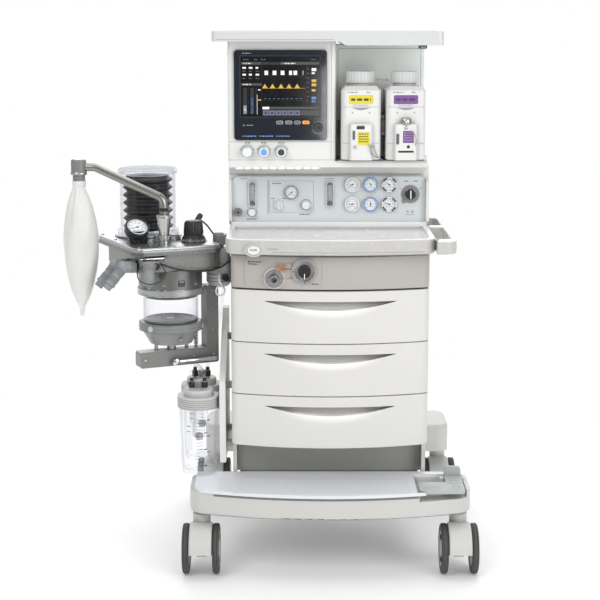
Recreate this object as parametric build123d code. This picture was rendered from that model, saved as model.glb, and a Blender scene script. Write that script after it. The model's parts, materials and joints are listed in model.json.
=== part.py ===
from build123d import *
from math import cos, pi, radians, sin
import os

# An anesthesia workstation on four twin-wheel castors. All sizes are in millimetres.
# Every sub-part is modelled round the cabinet's centre plane (X = 0, front towards -Y, floor at
# Z = 0). save() then moves it by COLUMN_X, so that the origin is on the floor under the middle of
# the whole machine, breathing system and bag included.

# ---- Driving dimensions -----------------------------------------------------------------------
COLUMN_X = 158.0           # the cabinet stands right of the middle, because the bag hangs left
RUNNING_GAP = 0.05         # radial clearance of every shaft in its bore

CABINET_HALF = 257.0       # outer half width of the cabinet and its drawers
CABINET_WALL = 10.0
CABINET_BACK = 284.0
CABINET_MOUTH = -148.0     # front edge of the side walls, behind the drawer fronts
FRONT_BOW = 45.0           # how far the drawer fronts bow out between their corners
FRONT_Y = -260.0           # the most forward point of the drawer fronts

DRAWER_BOTTOMS = (318.5, 457.0, 595.5)
DRAWER_HEIGHT = 137.0
DRAWER_TRAVEL = 300.0
TRAY_HALF = 222.0
TRAY_BACK = 225.0

BASE_HALF = 364.0
BASE_FRONT = -377.0
BASE_BOTTOM = 160.0
BASE_TOP = 220.0
FOOTREST_TOP = 228.0
SPINE_TOP = 216.0          # the cabinet stands on this level
WING_TOP = 262.0

CASTOR_X = 334.0
CASTOR_STEM_Y = (-276.0, 347.0)
WHEEL_R = 65.0
WHEEL_TRAIL = 32.0         # the wheels stand this far in front of the stem at rest
WHEEL_HALF = 47.5          # half the width over both tyres
TYRE_WIDTH = 17.0
HOOD_HALF = 29.5
AXLE_R = 6.0
STEM_R = 8.0

TABLE_HALF = 268.0
TABLE_FRONT = -298.0
TABLE_CORNER = -264.0
TABLE_BACK = 22.0
TABLE_BOTTOM = 829.0
TABLE_TOP = 870.0
LOWER_PANEL_BOTTOM = 736.5
LOWER_PANEL_TOP = 822.0

GAUGE_PANEL_HALF = 262.0
GAUGE_PANEL_FRONT = 12.0
GAUGE_PANEL_BACK = 22.0
GAUGE_PANEL_BOTTOM = 880.0
GAUGE_PANEL_TOP = 1002.0
GAUGE_ROWS = (980.0, 927.0)
GAUGE_COLUMNS = (63.0, 113.0, 163.0)

HOUSING_LEFT = -266.0
HOUSING_RIGHT = 256.0
HOUSING_SPLIT = 15.0       # the display tower is left of this, the vaporizer bay right of it
HOUSING_FRONT = -100.0
HOUSING_DECK = 1052.0
BAY_BACK = 60.0
BAY_TOP = 1352.0
TOWER_TOP = 1362.0
SHELF_TOP = 1389.0

VAPORIZER_X = (80.0, 196.0)
VAPORIZER_HALF = 51.5
VAPORIZER_FRONT = -130.0
VAPORIZER_BACK = 40.0
VAPORIZER_BOTTOM = 1058.0
VAPORIZER_TOP = 1248.0
DIAL_Y = -70.0
DIAL_R = 37.0
DIAL_SHAFT_R = 6.0

PIVOT_X = -294.0           # the breathing system swivels about this upright post
PIVOT_Y = -70.0
SWING_REST = 25.0          # degrees that the breathing system is turned towards the front at rest
HUB_R = 34.0
POST_R = 12.0
PLATE_TOP = 840.0
PLATE_BOTTOM = 820.0
BLOCK_BOTTOM = 770.0

# Places on the breathing system, in its own frame: u to the right, v to the rear, from the post.
CANISTER_AT = (-132.0, 18.0)
DOME_AT = (-140.0, 163.0)
ARM_AT = (-156.0, -5.0)
APL_AT = (-72.0, 0.0)
LEVER_AT = (-62.0, 62.0)
GAUGE_AT = (-215.0, 45.0)
GAUGE_TILT = 42.0          # degrees that the airway gauge faces forward from level
GAUGE_R = 31.0

DOME_R = 79.0
DOME_TOP = 1024.0
BELLOWS_BOTTOM = 858.0
BELLOWS_TOP = 1004.0
CAM_Z = 524.0
CAM_R = 6.5
CAM_HANDLE = 112.0
BRACKET_V = (-2.0, 38.0)
ARM_TUBE_R = 8.5
BAG_REACH = 219.0          # from the arm's socket to the bag's centre line
BAG_TOP = 1002.0
BAG_BOTTOM = 665.0
BAG_R = 45.0

JAR_X = -347.0
JAR_Y = (-160.0, -25.0)
JAR_R = 52.0


# ---- Small helpers ----------------------------------------------------------------------------
def block(x0, x1, y0, y1, z0, z1):
    """Box between two corners."""
    return Pos((x0 + x1) / 2, (y0 + y1) / 2, (z0 + z1) / 2) * Box(x1 - x0, y1 - y0, z1 - z0)


def post(x, y, z0, z1, r):
    """Upright cylinder."""
    return Pos(x, y, (z0 + z1) / 2) * Cylinder(r, z1 - z0)


def nose(x, z, y0, y1, r):
    """Cylinder along Y, such as a knob on the front."""
    return Pos(x, (y0 + y1) / 2, z) * Rot(90, 0, 0) * Cylinder(r, y1 - y0)


def axle(y, z, x0, x1, r):
    """Cylinder along X."""
    return Pos((x0 + x1) / 2, y, z) * Rot(0, 90, 0) * Cylinder(r, x1 - x0)


def cone(x, y, z0, z1, r0, r1):
    """Upright cone from radius r0 at z0 to r1 at z1."""
    return Pos(x, y, (z0 + z1) / 2) * Cone(r0, r1, z1 - z0)


def slab(x0, x1, y0, y1, z0, z1, corner_r):
    """Upright plate with four rounded plan corners."""
    outline = RectangleRounded(x1 - x0, y1 - y0, corner_r)
    return Pos((x0 + x1) / 2, (y0 + y1) / 2, z0) * extrude(outline, z1 - z0)


def front_plate(x0, x1, z0, z1, y0, y1, corner_r):
    """Plate facing the front, with four rounded corners."""
    outline = RectangleRounded(x1 - x0, z1 - z0, corner_r)
    return Pos((x0 + x1) / 2, y1, (z0 + z1) / 2) * Rot(90, 0, 0) * extrude(outline, y1 - y0)


def bowed(half, front, corner, back, z0, z1, corner_r):
    """Upright slab with straight sides and back, and a front bowed towards -Y."""
    sides = Polyline((half, corner), (half, back), (-half, back), (-half, corner))
    bow = ThreePointArc((-half, corner), (0, front), (half, corner))
    face = make_face(sides + bow)
    corners = [v for v in face.vertices() if abs(v.Y - corner) < 0.01]
    face = fillet(corners, corner_r)
    return Pos(0, 0, z0) * extrude(face, z1 - z0)


def bow_y(x, half, front, corner):
    """Close to where a bowed front stands at x: a parabola through the same three points."""
    return front + (corner - front) * (x / half) ** 2


def group(parts):
    """Several separate solids in one node."""
    solids = []
    for part in parts:
        solids.extend(part.solids())
    return Compound(solids)


def swing(shape):
    """Takes a shape from the breathing system's own frame to where it stands at rest."""
    return Pos(PIVOT_X, PIVOT_Y, 0) * Rot(0, 0, SWING_REST) * shape


def swing_point(u, v):
    """The same for a place in plan."""
    angle = radians(SWING_REST)
    return PIVOT_X + u * cos(angle) - v * sin(angle), PIVOT_Y + u * sin(angle) + v * cos(angle)


def save(name, shape):
    export_step(Pos(COLUMN_X, 0, 0) * shape, f"parts/{name}.step")


def knob_on_front(x, z, face_y, r, depth, shaft_r, shaft_length, flutes=0):
    """Round knob standing out of a front face, on a shaft that goes back through it."""
    body = nose(x, z, face_y - depth, face_y - 1.0, r)
    rim = [e for e in body.edges() if e.center().Y < face_y - depth + 0.01]
    body = fillet(rim, min(1.5, r / 5))
    for i in range(flutes):
        angle = 2 * pi * i / flutes
        x_cut = x + (r + 0.6) * cos(angle)
        z_cut = z + (r + 0.6) * sin(angle)
        body -= nose(x_cut, z_cut, face_y - depth - 1, face_y - 3.0, 1.5)
    return body + nose(x, z, face_y - 2.0, face_y + shaft_length, shaft_r)


# ---- Base and castors -------------------------------------------------------------------------
PEDAL_POCKET = (222.0, 352.0, -352.0, -185.0, 203.0)     # x0, x1, y0, y1 and its floor
PEDAL_AXIS = (-215.0, 222.0)
PEDAL_PIN_R = 4.0
SOCKET_TOP = 200.0


def pedal_pocket(top):
    x0, x1, y0, y1, floor = PEDAL_POCKET
    return block(x0, x1, y0, y1, floor, top)


def base_frame():
    front = bowed(BASE_HALF, BASE_FRONT, -312.0, -153.0, BASE_BOTTOM, BASE_TOP, 52.0)
    rear_corners = front.edges().filter_by(Axis.Z).group_by(Axis.Y)[-1]
    front = fillet(rear_corners, 30.0)
    low_rim = front.faces().sort_by(Axis.Z)[0].edges()
    front = fillet(low_rim, 9.0)
    spine = block(-240, 240, -170, 300, 166, SPINE_TOP)
    rear = slab(-353, 353, 196, 380, 184, SPINE_TOP, 34)
    frame = front + spine + rear
    for side in (-1, 1):
        wing = slab(min(side * 258, side * 353), max(side * 258, side * 353), 196, 380, 184, WING_TOP, 34)
        rim = wing.faces().sort_by(Axis.Z)[-1].edges()
        frame += fillet(rim, 10.0)
        for stem_y in CASTOR_STEM_Y:
            frame += post(side * CASTOR_X, stem_y, 159.5, 190, 24)
    for side in (-1, 1):
        for stem_y in CASTOR_STEM_Y:
            frame -= post(side * CASTOR_X, stem_y, 150, SOCKET_TOP, STEM_R + RUNNING_GAP)
    frame -= pedal_pocket(BASE_TOP + 20)
    frame -= block(-292, 214, -330, -190, BASE_BOTTOM - 5, BASE_TOP - 8)
    frame -= block(-225, 225, -150, 284, BASE_BOTTOM - 5, SPINE_TOP - 8)
    return frame + pedal_hinge()


def pedal_hinge():
    """Two lugs and the pin that the pedal rocks on."""
    y, z = PEDAL_AXIS
    floor = PEDAL_POCKET[4]
    lugs = block(290, 300, y - 7, y + 7, floor, z + 6) + block(347.5, 353, y - 7, y + 7, floor, z + 6)
    return lugs + axle(y, z, 292, 352, PEDAL_PIN_R)


def base_footrest():
    """Foot plate with a rolled front lip, over the front beam."""
    plate = bowed(352.0, -381.0, -320.0, -160.0, BASE_TOP, FOOTREST_TOP, 48.0)
    rim = [e for e in plate.faces().sort_by(Axis.Z)[-1].edges() if e.center().Y < -165]
    return chamfer(rim, 2.0) - pedal_pocket(FOOTREST_TOP + 10)


def brake_pedal():
    """Rocking pedal: a front arm, a corner and an upright side flap, on a cross pin."""
    arm = slab(228, 346, -345, -262, 222, 230, 14)
    side = slab(302, 346, -345, -192, 222, 230, 14)
    flap = block(302, 346, -206, -196, 226, 255)
    flap = fillet(flap.edges().filter_by(Axis.Y).group_by(Axis.Z)[-1], 10.0)
    y, z = PEDAL_AXIS
    hinge_tube = axle(y, z, 306, 342, 8)
    return arm + side + flap + hinge_tube - axle(y, z, 300, 350, PEDAL_PIN_R + RUNNING_GAP)


def castor_hood(x, stem_y):
    """Fork and mudguard between the twin wheels, with its swivel stem."""
    wheel_y = stem_y - WHEEL_TRAIL
    guard = axle(wheel_y, WHEEL_R, x - HOOD_HALF, x + HOOD_HALF, 68.5)
    guard = fillet(guard.edges(), 5.0)
    guard -= axle(wheel_y, WHEEL_R, x - HOOD_HALF + 4, x - 9, 62)
    guard -= axle(wheel_y, WHEEL_R, x + 9, x + HOOD_HALF - 4, 62)
    low = Pos(x, wheel_y + 10, 18) * Rot(-14, 0, 0) * Box(90, 220, 60)
    guard -= low
    web = axle(wheel_y, WHEEL_R, x - 12, x + 12, 22)
    hood = guard + web + post(x, stem_y, 105, 155, 23)
    top_rim = hood.faces().sort_by(Axis.Z)[-1].edges()
    hood = fillet(top_rim, 3.0)
    hood += post(x, stem_y, 154, 159.0, 14)
    hood += post(x, stem_y, 158, SOCKET_TOP - 3, STEM_R)
    return hood - axle(wheel_y, WHEEL_R, x - 40, x + 40, AXLE_R + RUNNING_GAP)


def castor_wheels(x, stem_y):
    """Two tyres on their hubs, joined by one axle."""
    wheel_y = stem_y - WHEEL_TRAIL
    solids = []
    for side in (-1, 1):
        outer = x + side * WHEEL_HALF
        inner = x + side * (WHEEL_HALF - TYRE_WIDTH)
        x0, x1 = min(outer, inner), max(outer, inner)
        tyre = fillet(axle(wheel_y, WHEEL_R, x0, x1, WHEEL_R).edges(), 5.0)
        tyre -= axle(wheel_y, WHEEL_R, x0 - 1, x1 + 1, 46)
        hub = axle(wheel_y, WHEEL_R, x0 + 1.5, x1 - 1.5, 46)
        hub -= axle(wheel_y, WHEEL_R, x0 - 1, x1 + 1, AXLE_R)
        solids += [tyre, hub]
    solids.append(axle(wheel_y, WHEEL_R, x - WHEEL_HALF + 0.5, x + WHEEL_HALF - 0.5, AXLE_R))
    return group(solids)


# ---- Cabinet and drawers ----------------------------------------------------------------------
def cabinet_shell():
    inner = CABINET_HALF - CABINET_WALL
    shell = block(-CABINET_HALF, -inner, CABINET_MOUTH, CABINET_BACK, SPINE_TOP, TABLE_BOTTOM)
    shell += block(inner, CABINET_HALF, CABINET_MOUTH, CABINET_BACK, SPINE_TOP, TABLE_BOTTOM)
    shell += block(-inner, inner, CABINET_MOUTH, CABINET_BACK, 308, 316)
    shell += block(-inner, inner, CABINET_MOUTH, CABINET_BACK, 733, 736)
    shell += block(-inner, inner, 238, 246, 316, 733)
    shell += block(-inner, inner, -60, -52, SPINE_TOP, 308)
    return shell


def drawer_front(z0):
    """Hollow bowed front with a crescent finger pull."""
    z1 = z0 + DRAWER_HEIGHT
    corner = FRONT_Y + FRONT_BOW
    outer = bowed(CABINET_HALF, FRONT_Y, corner, -150.0, z0, z1, 24.0)
    edges = outer.faces().sort_by(Axis.Z)[-1].edges() + outer.faces().sort_by(Axis.Z)[0].edges()
    rounded = fillet([e for e in edges if e.center().Y < -152], 2.5)
    hollow = bowed(CABINET_HALF - 5, FRONT_Y + 5, corner + 5, -149.0, z0 + 5, z1 - 5, 20.0)
    back_of_pull = outer & block(-190, 190, -300, -205, z0 + 70, z1 - 10)
    front = rounded - hollow + back_of_pull
    return front - finger_pull(z1)


def finger_pull(z1):
    """Crescent pocket: flat upper edge, curved lower edge, deepest in the middle."""
    top = z1 - 27.0
    half = 172.0
    line = Line((-half, top), (half, top))
    curve = ThreePointArc((-half, top), (0, top - 23.0), (half, top))
    crescent = make_face(line + curve)
    return Pos(0, -228, 0) * Rot(90, 0, 0) * extrude(crescent, 60)


def drawer_tray(z0):
    low, high = z0 + 14, z0 + 108
    tray = block(-TRAY_HALF, TRAY_HALF, -205, TRAY_BACK, low, high)
    tray -= block(-TRAY_HALF + 3, TRAY_HALF - 3, -202, TRAY_BACK - 3, low + 3, high + 1)
    for side in (-1, 1):
        x0, x1 = sorted((side * TRAY_HALF, side * (TRAY_HALF + 9)))
        tray += block(x0, x1, -130, TRAY_BACK, z0 + 56, z0 + 72)
    return tray


def drawer(z0):
    return group([drawer_front(z0), drawer_tray(z0)])


def drawer_runners():
    """Fixed C channels on the cabinet's walls, one each side of each drawer."""
    rails = []
    for z0 in DRAWER_BOTTOMS:
        for side in (-1, 1):
            inner, outer = side * 233.0, side * 247.0
            x0, x1 = sorted((inner, outer))
            rail = block(x0, x1, -140, 232, z0 + 50, z0 + 78)
            lip0, lip1 = sorted((side * 232.9, side * 243.0))
            rail -= block(lip0, lip1, -141, 233, z0 + 54, z0 + 74)
            rails.append(rail)
    return group(rails)


PORT_AT = (-144.0, 765.0)
PORT_FACE = -251.0
SELECTOR_AT = (-66.5, 785.0)


def lower_front_panel():
    corner = FRONT_Y + FRONT_BOW
    outer = bowed(CABINET_HALF, FRONT_Y, corner, -150.0, LOWER_PANEL_BOTTOM, LOWER_PANEL_TOP, 24.0)
    edges = outer.faces().sort_by(Axis.Z)[-1].edges() + outer.faces().sort_by(Axis.Z)[0].edges()
    outer = fillet([e for e in edges if e.center().Y < -152], 2.5)
    hollow = bowed(CABINET_HALF - 5, FRONT_Y + 5, corner + 5, -149.0,
                   LOWER_PANEL_BOTTOM + 5, LOWER_PANEL_TOP - 5, 20.0)
    panel = outer - hollow
    x, z = PORT_AT
    panel += nose(x, z, PORT_FACE, -236, 27)
    panel -= nose(x, z, -300, -200, 14)
    x, z = SELECTOR_AT
    panel += nose(x, z, -262, -236, 33)
    panel -= nose(x, z, -300, -246, 26)
    return panel - nose(x, z, -300, -200, 6 + RUNNING_GAP)


def acgo_selector():
    """Lever knob in its round recess: points down at rest, turns a quarter turn."""
    x, z = SELECTOR_AT
    knob = nose(x, z, -272, -248, 16.5)
    knob = fillet([e for e in knob.edges() if e.center().Y < -271], 2.0)
    knob += block(x - 3, x + 3, -275, -262, z - 22, z + 8)
    return knob + nose(x, z, -249, -225, 6)


def gas_ports():
    """Common gas outlet cone on the lower panel and the auxiliary oxygen outlet above."""
    x, z = PORT_AT
    flange = nose(x, z, PORT_FACE - 4, PORT_FACE, 24) + nose(x, z, PORT_FACE - 4, -225, 13.8)
    cone_port = nose(x, z, PORT_FACE - 24, PORT_FACE - 3, 11)
    port = flange + cone_port - nose(x, z, PORT_FACE - 25, -230, 7.5)
    barb = nose(-244.6, 906, -6, 30, 5.5) + nose(-244.6, 906, 2, GAUGE_PANEL_FRONT, 11)
    barb -= nose(-244.6, 906, -7, 28, 3)
    return group([port, barb])


# ---- Work table and side handle ---------------------------------------------------------------
FLUSH_AT = (-195.0, 842.0)


def ellipse_nose(x, z, y0, y1, rx, rz):
    return Pos(x, y1, z) * Rot(90, 0, 0) * extrude(Ellipse(rx, rz), y1 - y0)


def work_table():
    """Moulded worktop with a raised rim, an upstand at the back and the flush button's collar."""
    slab_body = bowed(TABLE_HALF, TABLE_FRONT, TABLE_CORNER, TABLE_BACK, TABLE_BOTTOM, TABLE_TOP, 30.0)
    low = [e for e in slab_body.faces().sort_by(Axis.Z)[0].edges() if e.center().Y < TABLE_BACK - 1]
    slab_body = fillet(low, 10.0)
    high = [e for e in slab_body.faces().sort_by(Axis.Z)[-1].edges() if e.center().Y < TABLE_BACK - 1]
    slab_body = fillet(high, 4.0)
    tray = bowed(TABLE_HALF - 16, TABLE_FRONT + 15, TABLE_CORNER + 14, -8.0, 861, TABLE_TOP + 9, 26.0)
    tray_floor = tray.faces().sort_by(Axis.Z)[0].edges()
    table = slab_body - fillet(tray_floor, 7.0)
    table += block(-TABLE_HALF + 4, TABLE_HALF - 4, 0, TABLE_BACK, TABLE_TOP - 2, GAUGE_PANEL_BOTTOM)
    table -= bowed(TABLE_HALF - 8, TABLE_FRONT + 12, TABLE_CORNER + 12, -14.0, TABLE_BOTTOM - 1, 853, 20.0)
    x, z = FLUSH_AT
    face = bow_y(x, TABLE_HALF, TABLE_FRONT, TABLE_CORNER)
    table += ellipse_nose(x, z, face - 2.5, -262, 24, 17)
    return table - ellipse_nose(x, z, face - 5, -255, 17.5, 12.5)


def oxygen_flush_button():
    x, z = FLUSH_AT
    face = bow_y(x, TABLE_HALF, TABLE_FRONT, TABLE_CORNER)
    button = ellipse_nose(x, z, face - 1.0, -263, 17, 12)
    front_edge = [e for e in button.edges() if e.center().Y < face - 0.9]
    button = fillet(front_edge, 1.5)
    return button + nose(x, z, -264, -246, 4)


def side_handle():
    """Grab rail along the right side of the table, on three cross bars."""
    z0, z1 = 832.0, 868.0
    outer = slab(210, 320, -290, 225, z0, z1, 30)
    inner = slab(230, 307, -254, 0, z0 - 1, z1 + 1, 14)
    inner_rear = slab(230, 307, 26, 198, z0 - 1, z1 + 1, 14)
    rail = outer - inner - inner_rear
    rail -= block(200, 269.5, -300, 240, z0 - 1, z1 + 1)
    rim = [e for e in rail.faces().sort_by(Axis.Z)[-1].edges() if e.center().X > 270]
    rail = fillet(rim, 5.0)
    rim = [e for e in rail.faces().sort_by(Axis.Z)[0].edges() if e.center().X > 270]
    rail = fillet(rim, 5.0)
    shoe = block(268, 269.5, -285, 20, z0 + 4, z1 - 4)
    return rail + shoe


# ---- Gauge panel and its instruments ----------------------------------------------------------
AUX_KNOB_AT = (-208.0, 905.0)
SUCTION_GAUGE_AT = (-101.0, 959.0)
SUCTION_SELECTOR_AT = (-136.0, 924.0)
SUCTION_KNOB_AT = (-62.0, 925.0)
SYSTEM_SWITCH_AT = (220.0, 954.0)
FLOW_TUBES_X = (-206.6, 2.6)
PANEL_SHAFT_R = 3.0


def gauge_places():
    places = [(x, z, 20.0) for z in GAUGE_ROWS for x in GAUGE_COLUMNS]
    return places + [(*SUCTION_GAUGE_AT, 19.0)]


def gauge_panel():
    panel = front_plate(-GAUGE_PANEL_HALF, GAUGE_PANEL_HALF, GAUGE_PANEL_BOTTOM, GAUGE_PANEL_TOP,
                        GAUGE_PANEL_FRONT, GAUGE_PANEL_BACK, 20)
    panel += block(-GAUGE_PANEL_HALF, GAUGE_PANEL_HALF, GAUGE_PANEL_FRONT, GAUGE_PANEL_BACK,
                   GAUGE_PANEL_BOTTOM, GAUGE_PANEL_BOTTOM + 24)
    for x, z, r in gauge_places():
        panel -= nose(x, z, 0, 40, r - 4)
    for x in FLOW_TUBES_X:
        panel -= front_plate(x - 8, x + 8, 921, 986, 0, 40, 7)
    for x, z in (AUX_KNOB_AT, SUCTION_SELECTOR_AT, SUCTION_KNOB_AT, SYSTEM_SWITCH_AT):
        panel -= nose(x, z, 0, 40, PANEL_SHAFT_R + RUNNING_GAP)
    panel -= nose(*SYSTEM_SWITCH_AT, 0, GAUGE_PANEL_FRONT + 5, 25)
    return panel - nose(-244.6, 906, 0, 40, 5.6)


def gauge(x, z, r):
    """Round gauge: bezel ring, recessed dial and the can behind the panel."""
    body = nose(x, z, 3, GAUGE_PANEL_FRONT, r)
    body = fillet([e for e in body.edges() if e.center().Y < 4], 2.0)
    body -= nose(x, z, 0, 7, r - 3.5)
    return body + nose(x, z, GAUGE_PANEL_FRONT - 1, 52, r - 4.2)


def flow_tube(x):
    """Flow tube in its window frame."""
    frame = front_plate(x - 12, x + 12, 917, 990, 8, GAUGE_PANEL_FRONT, 6)
    frame -= front_plate(x - 8, x + 8, 921, 986, 0, 40, 7)
    tube = post(x, 17, 923, 984, 4.5)
    cradle = front_plate(x - 7.8, x + 7.8, 921.5, 985.5, 21.6, 26, 7)
    cradle += block(x - 3, x + 3, 17, 24, 921.5, 926)
    cradle += block(x - 3, x + 3, 17, 24, 981, 985.5)
    return frame + cradle + tube


def panel_instruments():
    parts = [gauge(x, z, r) for x, z, r in gauge_places()]
    for x in FLOW_TUBES_X:
        parts.append(flow_tube(x))
    return group(parts)


def system_switch():
    """Pointer knob that sits in a round dish and turns between standby and on."""
    x, z = SYSTEM_SWITCH_AT
    knob = nose(x, z, -6, 15, 13.5)
    knob = fillet([e for e in knob.edges() if e.center().Y < -5], 2.0)
    knob += block(x - 2.5, x + 2.5, -9, 0, z - 12, z + 12)
    return knob + nose(x, z, 14, 40, PANEL_SHAFT_R)


def aux_oxygen_knob():
    return knob_on_front(*AUX_KNOB_AT, GAUGE_PANEL_FRONT, 10, 15, PANEL_SHAFT_R, 26, flutes=16)


def suction_selector():
    x, z = SUCTION_SELECTOR_AT
    knob = knob_on_front(x, z, GAUGE_PANEL_FRONT, 12, 8, PANEL_SHAFT_R, 26)
    return knob + block(x - 2.5, x + 2.5, -5, 6, z - 11, z + 11)


def suction_regulator_knob():
    return knob_on_front(*SUCTION_KNOB_AT, GAUGE_PANEL_FRONT, 11, 17, PANEL_SHAFT_R, 26, flutes=18)


# ---- Upper housing, display, shelf and vaporizers ---------------------------------------------
FLOW_KNOBS_X = (-216.0, -172.0, -127.0)
FLOW_KNOB_Z = 1077.0
ENCODER_AT = (-30.0, 1141.0)


def overhang():
    """Curved soffit that runs from the gauge panel forward to the display tower."""
    back = GAUGE_PANEL_BACK + 8
    lines = Polyline((back, GAUGE_PANEL_TOP), (back, HOUSING_DECK), (HOUSING_FRONT, HOUSING_DECK),
                     (HOUSING_FRONT, 1036.0))
    soffit = ThreePointArc((HOUSING_FRONT, 1036.0), (-32.0, 1024.0), (back, GAUGE_PANEL_TOP))
    profile = make_face(lines + soffit)
    width = HOUSING_RIGHT - HOUSING_LEFT
    return Pos(HOUSING_LEFT, 0, 0) * extrude(Plane.YZ * profile, width)


def upper_housing():
    shell = block(-270, 270, GAUGE_PANEL_BACK, CABINET_BACK, TABLE_TOP, 1030)
    shell += overhang()
    tower = block(HOUSING_LEFT, HOUSING_SPLIT, HOUSING_FRONT, CABINET_BACK, 1030, TOWER_TOP)
    tower = fillet(tower.edges().filter_by(Axis.Z).group_by(Axis.Y)[0], 7.0)
    tower -= block(HOUSING_LEFT - 1, HOUSING_SPLIT + 1, HOUSING_FRONT - 1, GAUGE_PANEL_BACK, 1029, HOUSING_DECK)
    shell += tower
    shell += block(HOUSING_SPLIT, HOUSING_RIGHT, BAY_BACK, CABINET_BACK, 1030, BAY_TOP)
    shell -= block(-262, 262, GAUGE_PANEL_BACK + 8, CABINET_BACK + 1, TABLE_TOP + 6, 998)
    shell -= block(-252, 252, GAUGE_PANEL_BACK - 1, GAUGE_PANEL_BACK + 9, GAUGE_PANEL_BOTTOM + 10, 998)
    shell -= block(-258, 250, GAUGE_PANEL_BACK + 16, CABINET_BACK + 1, 1004, HOUSING_DECK - 6)
    shell -= block(HOUSING_LEFT + 6, HOUSING_SPLIT - 6, HOUSING_FRONT + 8, CABINET_BACK + 1, 1060, TOWER_TOP - 6)
    shell -= block(HOUSING_SPLIT, HOUSING_RIGHT - 6, BAY_BACK + 6, CABINET_BACK + 1, 1060, BAY_TOP - 6)
    for side in (-1, 1):
        x0, x1 = sorted((side * GAUGE_PANEL_HALF, side * 270))
        cheek = block(x0, x1, -4, GAUGE_PANEL_BACK, GAUGE_PANEL_BOTTOM, 994)
        shell += fillet(cheek.edges().filter_by(Axis.X).group_by(Axis.Y)[0], 5.0)
    for x in FLOW_KNOBS_X:
        shell -= nose(x, FLOW_KNOB_Z, HOUSING_FRONT - 5, HOUSING_FRONT + 20, PANEL_SHAFT_R + RUNNING_GAP)
    x, z = ENCODER_AT
    return shell - nose(x, z, HOUSING_FRONT - 5, HOUSING_FRONT + 20, PANEL_SHAFT_R + RUNNING_GAP)


def display_panel():
    """Glass-fronted display with a sunk screen area."""
    panel = front_plate(-249.5, -8, 1107, 1340, HOUSING_FRONT - 7, HOUSING_FRONT, 9)
    front_rim = panel.faces().sort_by(Axis.Y)[0].edges()
    panel = fillet(front_rim, 1.5)
    panel -= front_plate(-232, -26, 1169, 1323, HOUSING_FRONT - 9, HOUSING_FRONT - 5.5, 1.5)
    x, z = ENCODER_AT
    return panel - nose(x, z, HOUSING_FRONT - 10, HOUSING_FRONT + 5, PANEL_SHAFT_R + RUNNING_GAP)


def encoder_knob():
    return knob_on_front(*ENCODER_AT, HOUSING_FRONT - 7, 11.5, 14, PANEL_SHAFT_R, 17, flutes=20)


def flow_knob(x):
    return knob_on_front(x, FLOW_KNOB_Z, HOUSING_FRONT, 13, 24, PANEL_SHAFT_R, 14, flutes=18)


def top_shelf():
    """Shelf over the whole width: thin over the display, deeper over the vaporizer bay."""
    x0, x1, y0, y1 = -304.0, 289.0, -165.0, 292.0
    step_start, step_end = 16.0, 44.0
    middle = (step_start + step_end) / 2
    low_line = Polyline((step_start, TOWER_TOP), (x0, TOWER_TOP), (x0, SHELF_TOP), (x1, SHELF_TOP),
                        (x1, BAY_TOP), (step_end, BAY_TOP))
    level = (TOWER_TOP + BAY_TOP) / 2
    s_curve = Spline((step_end, BAY_TOP), (middle, level), (step_start, TOWER_TOP),
                     tangents=((-1, 0), (-1, 0)))
    profile = make_face(low_line + s_curve)
    shelf = Pos(0, y1, 0) * Rot(90, 0, 0) * extrude(profile, y1 - y0)
    uprights = [e for e in shelf.edges().filter_by(Axis.Z) if e.length > 20]
    shelf = fillet(uprights, 14.0)
    top_rim = shelf.faces().sort_by(Axis.Z)[-1].edges()
    shelf = fillet(top_rim, 3.0)
    hollow = slab(x0 + 12, x1 - 12, -140, 280, 1372, 1383, 8)
    cable_slot = block(-60, 60, 255, 275, 1350, 1375)
    return shelf - hollow - cable_slot


def vaporizer_manifold():
    """Back bar with two pairs of gas ports for the vaporizers."""
    bar = block(24, 250, VAPORIZER_BACK, BAY_BACK, 1110, 1150)
    bar = fillet(bar.edges().filter_by(Axis.X).group_by(Axis.Y)[0], 4.0)
    for x in VAPORIZER_X:
        bar += post(x - 26, 50, 1150, 1158, 7)
        bar += post(x + 26, 50, 1150, 1158, 7)
    return bar


def vaporizer(x):
    """Vaporizer body: tall rounded case with bevelled shoulders and a filler block in front."""
    case = slab(x - VAPORIZER_HALF, x + VAPORIZER_HALF, VAPORIZER_FRONT, VAPORIZER_BACK,
                VAPORIZER_BOTTOM, VAPORIZER_TOP, 15)
    shoulder = case.faces().sort_by(Axis.Z)[-1].edges()
    case = chamfer(shoulder, 11.0)
    belly = case.faces().sort_by(Axis.Z)[0].edges()
    case = fillet(belly, 4.0)
    filler = slab(x - 30, x + 29, VAPORIZER_FRONT - 16, VAPORIZER_FRONT + 5, 1058, 1152, 7)
    filler = fillet(filler.faces().sort_by(Axis.Z)[-1].edges(), 4.0)
    case += filler
    case += post(x, DIAL_Y, VAPORIZER_TOP - 2, 1254.5, 31)
    return case - post(x, DIAL_Y, 1225, 1260, DIAL_SHAFT_R + RUNNING_GAP)


def vaporizer_dial(x):
    """Concentration dial: a fluted drum on a shaft."""
    drum = post(x, DIAL_Y, 1255.5, 1285, DIAL_R)
    drum = fillet(drum.faces().sort_by(Axis.Z)[-1].edges(), 4.0)
    for i in range(24):
        angle = radians(15.0 * i)
        drum -= post(x + 38.2 * cos(angle), DIAL_Y + 38.2 * sin(angle), 1258, 1290, 2.6)
    return drum + post(x, DIAL_Y, 1228, 1256, DIAL_SHAFT_R)


# ---- Rear cover, gas inlets and the module inside ----------------------------------------------
INLET_X = (-150.0, -90.0, -30.0)
INLET_Z = 780.0
YOKE_X = (-140.0, 0.0, 140.0)
YOKE_Z = 640.0
COVER_Y = (CABINET_BACK, 292.0)


def vent_field(x0, x1, z0, rows):
    slots = []
    for i in range(rows):
        slots.append(front_plate(x0, x1, z0 + 14 * i, z0 + 14 * i + 6, COVER_Y[0] - 5, COVER_Y[1] + 5, 2.5))
    return slots


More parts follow.
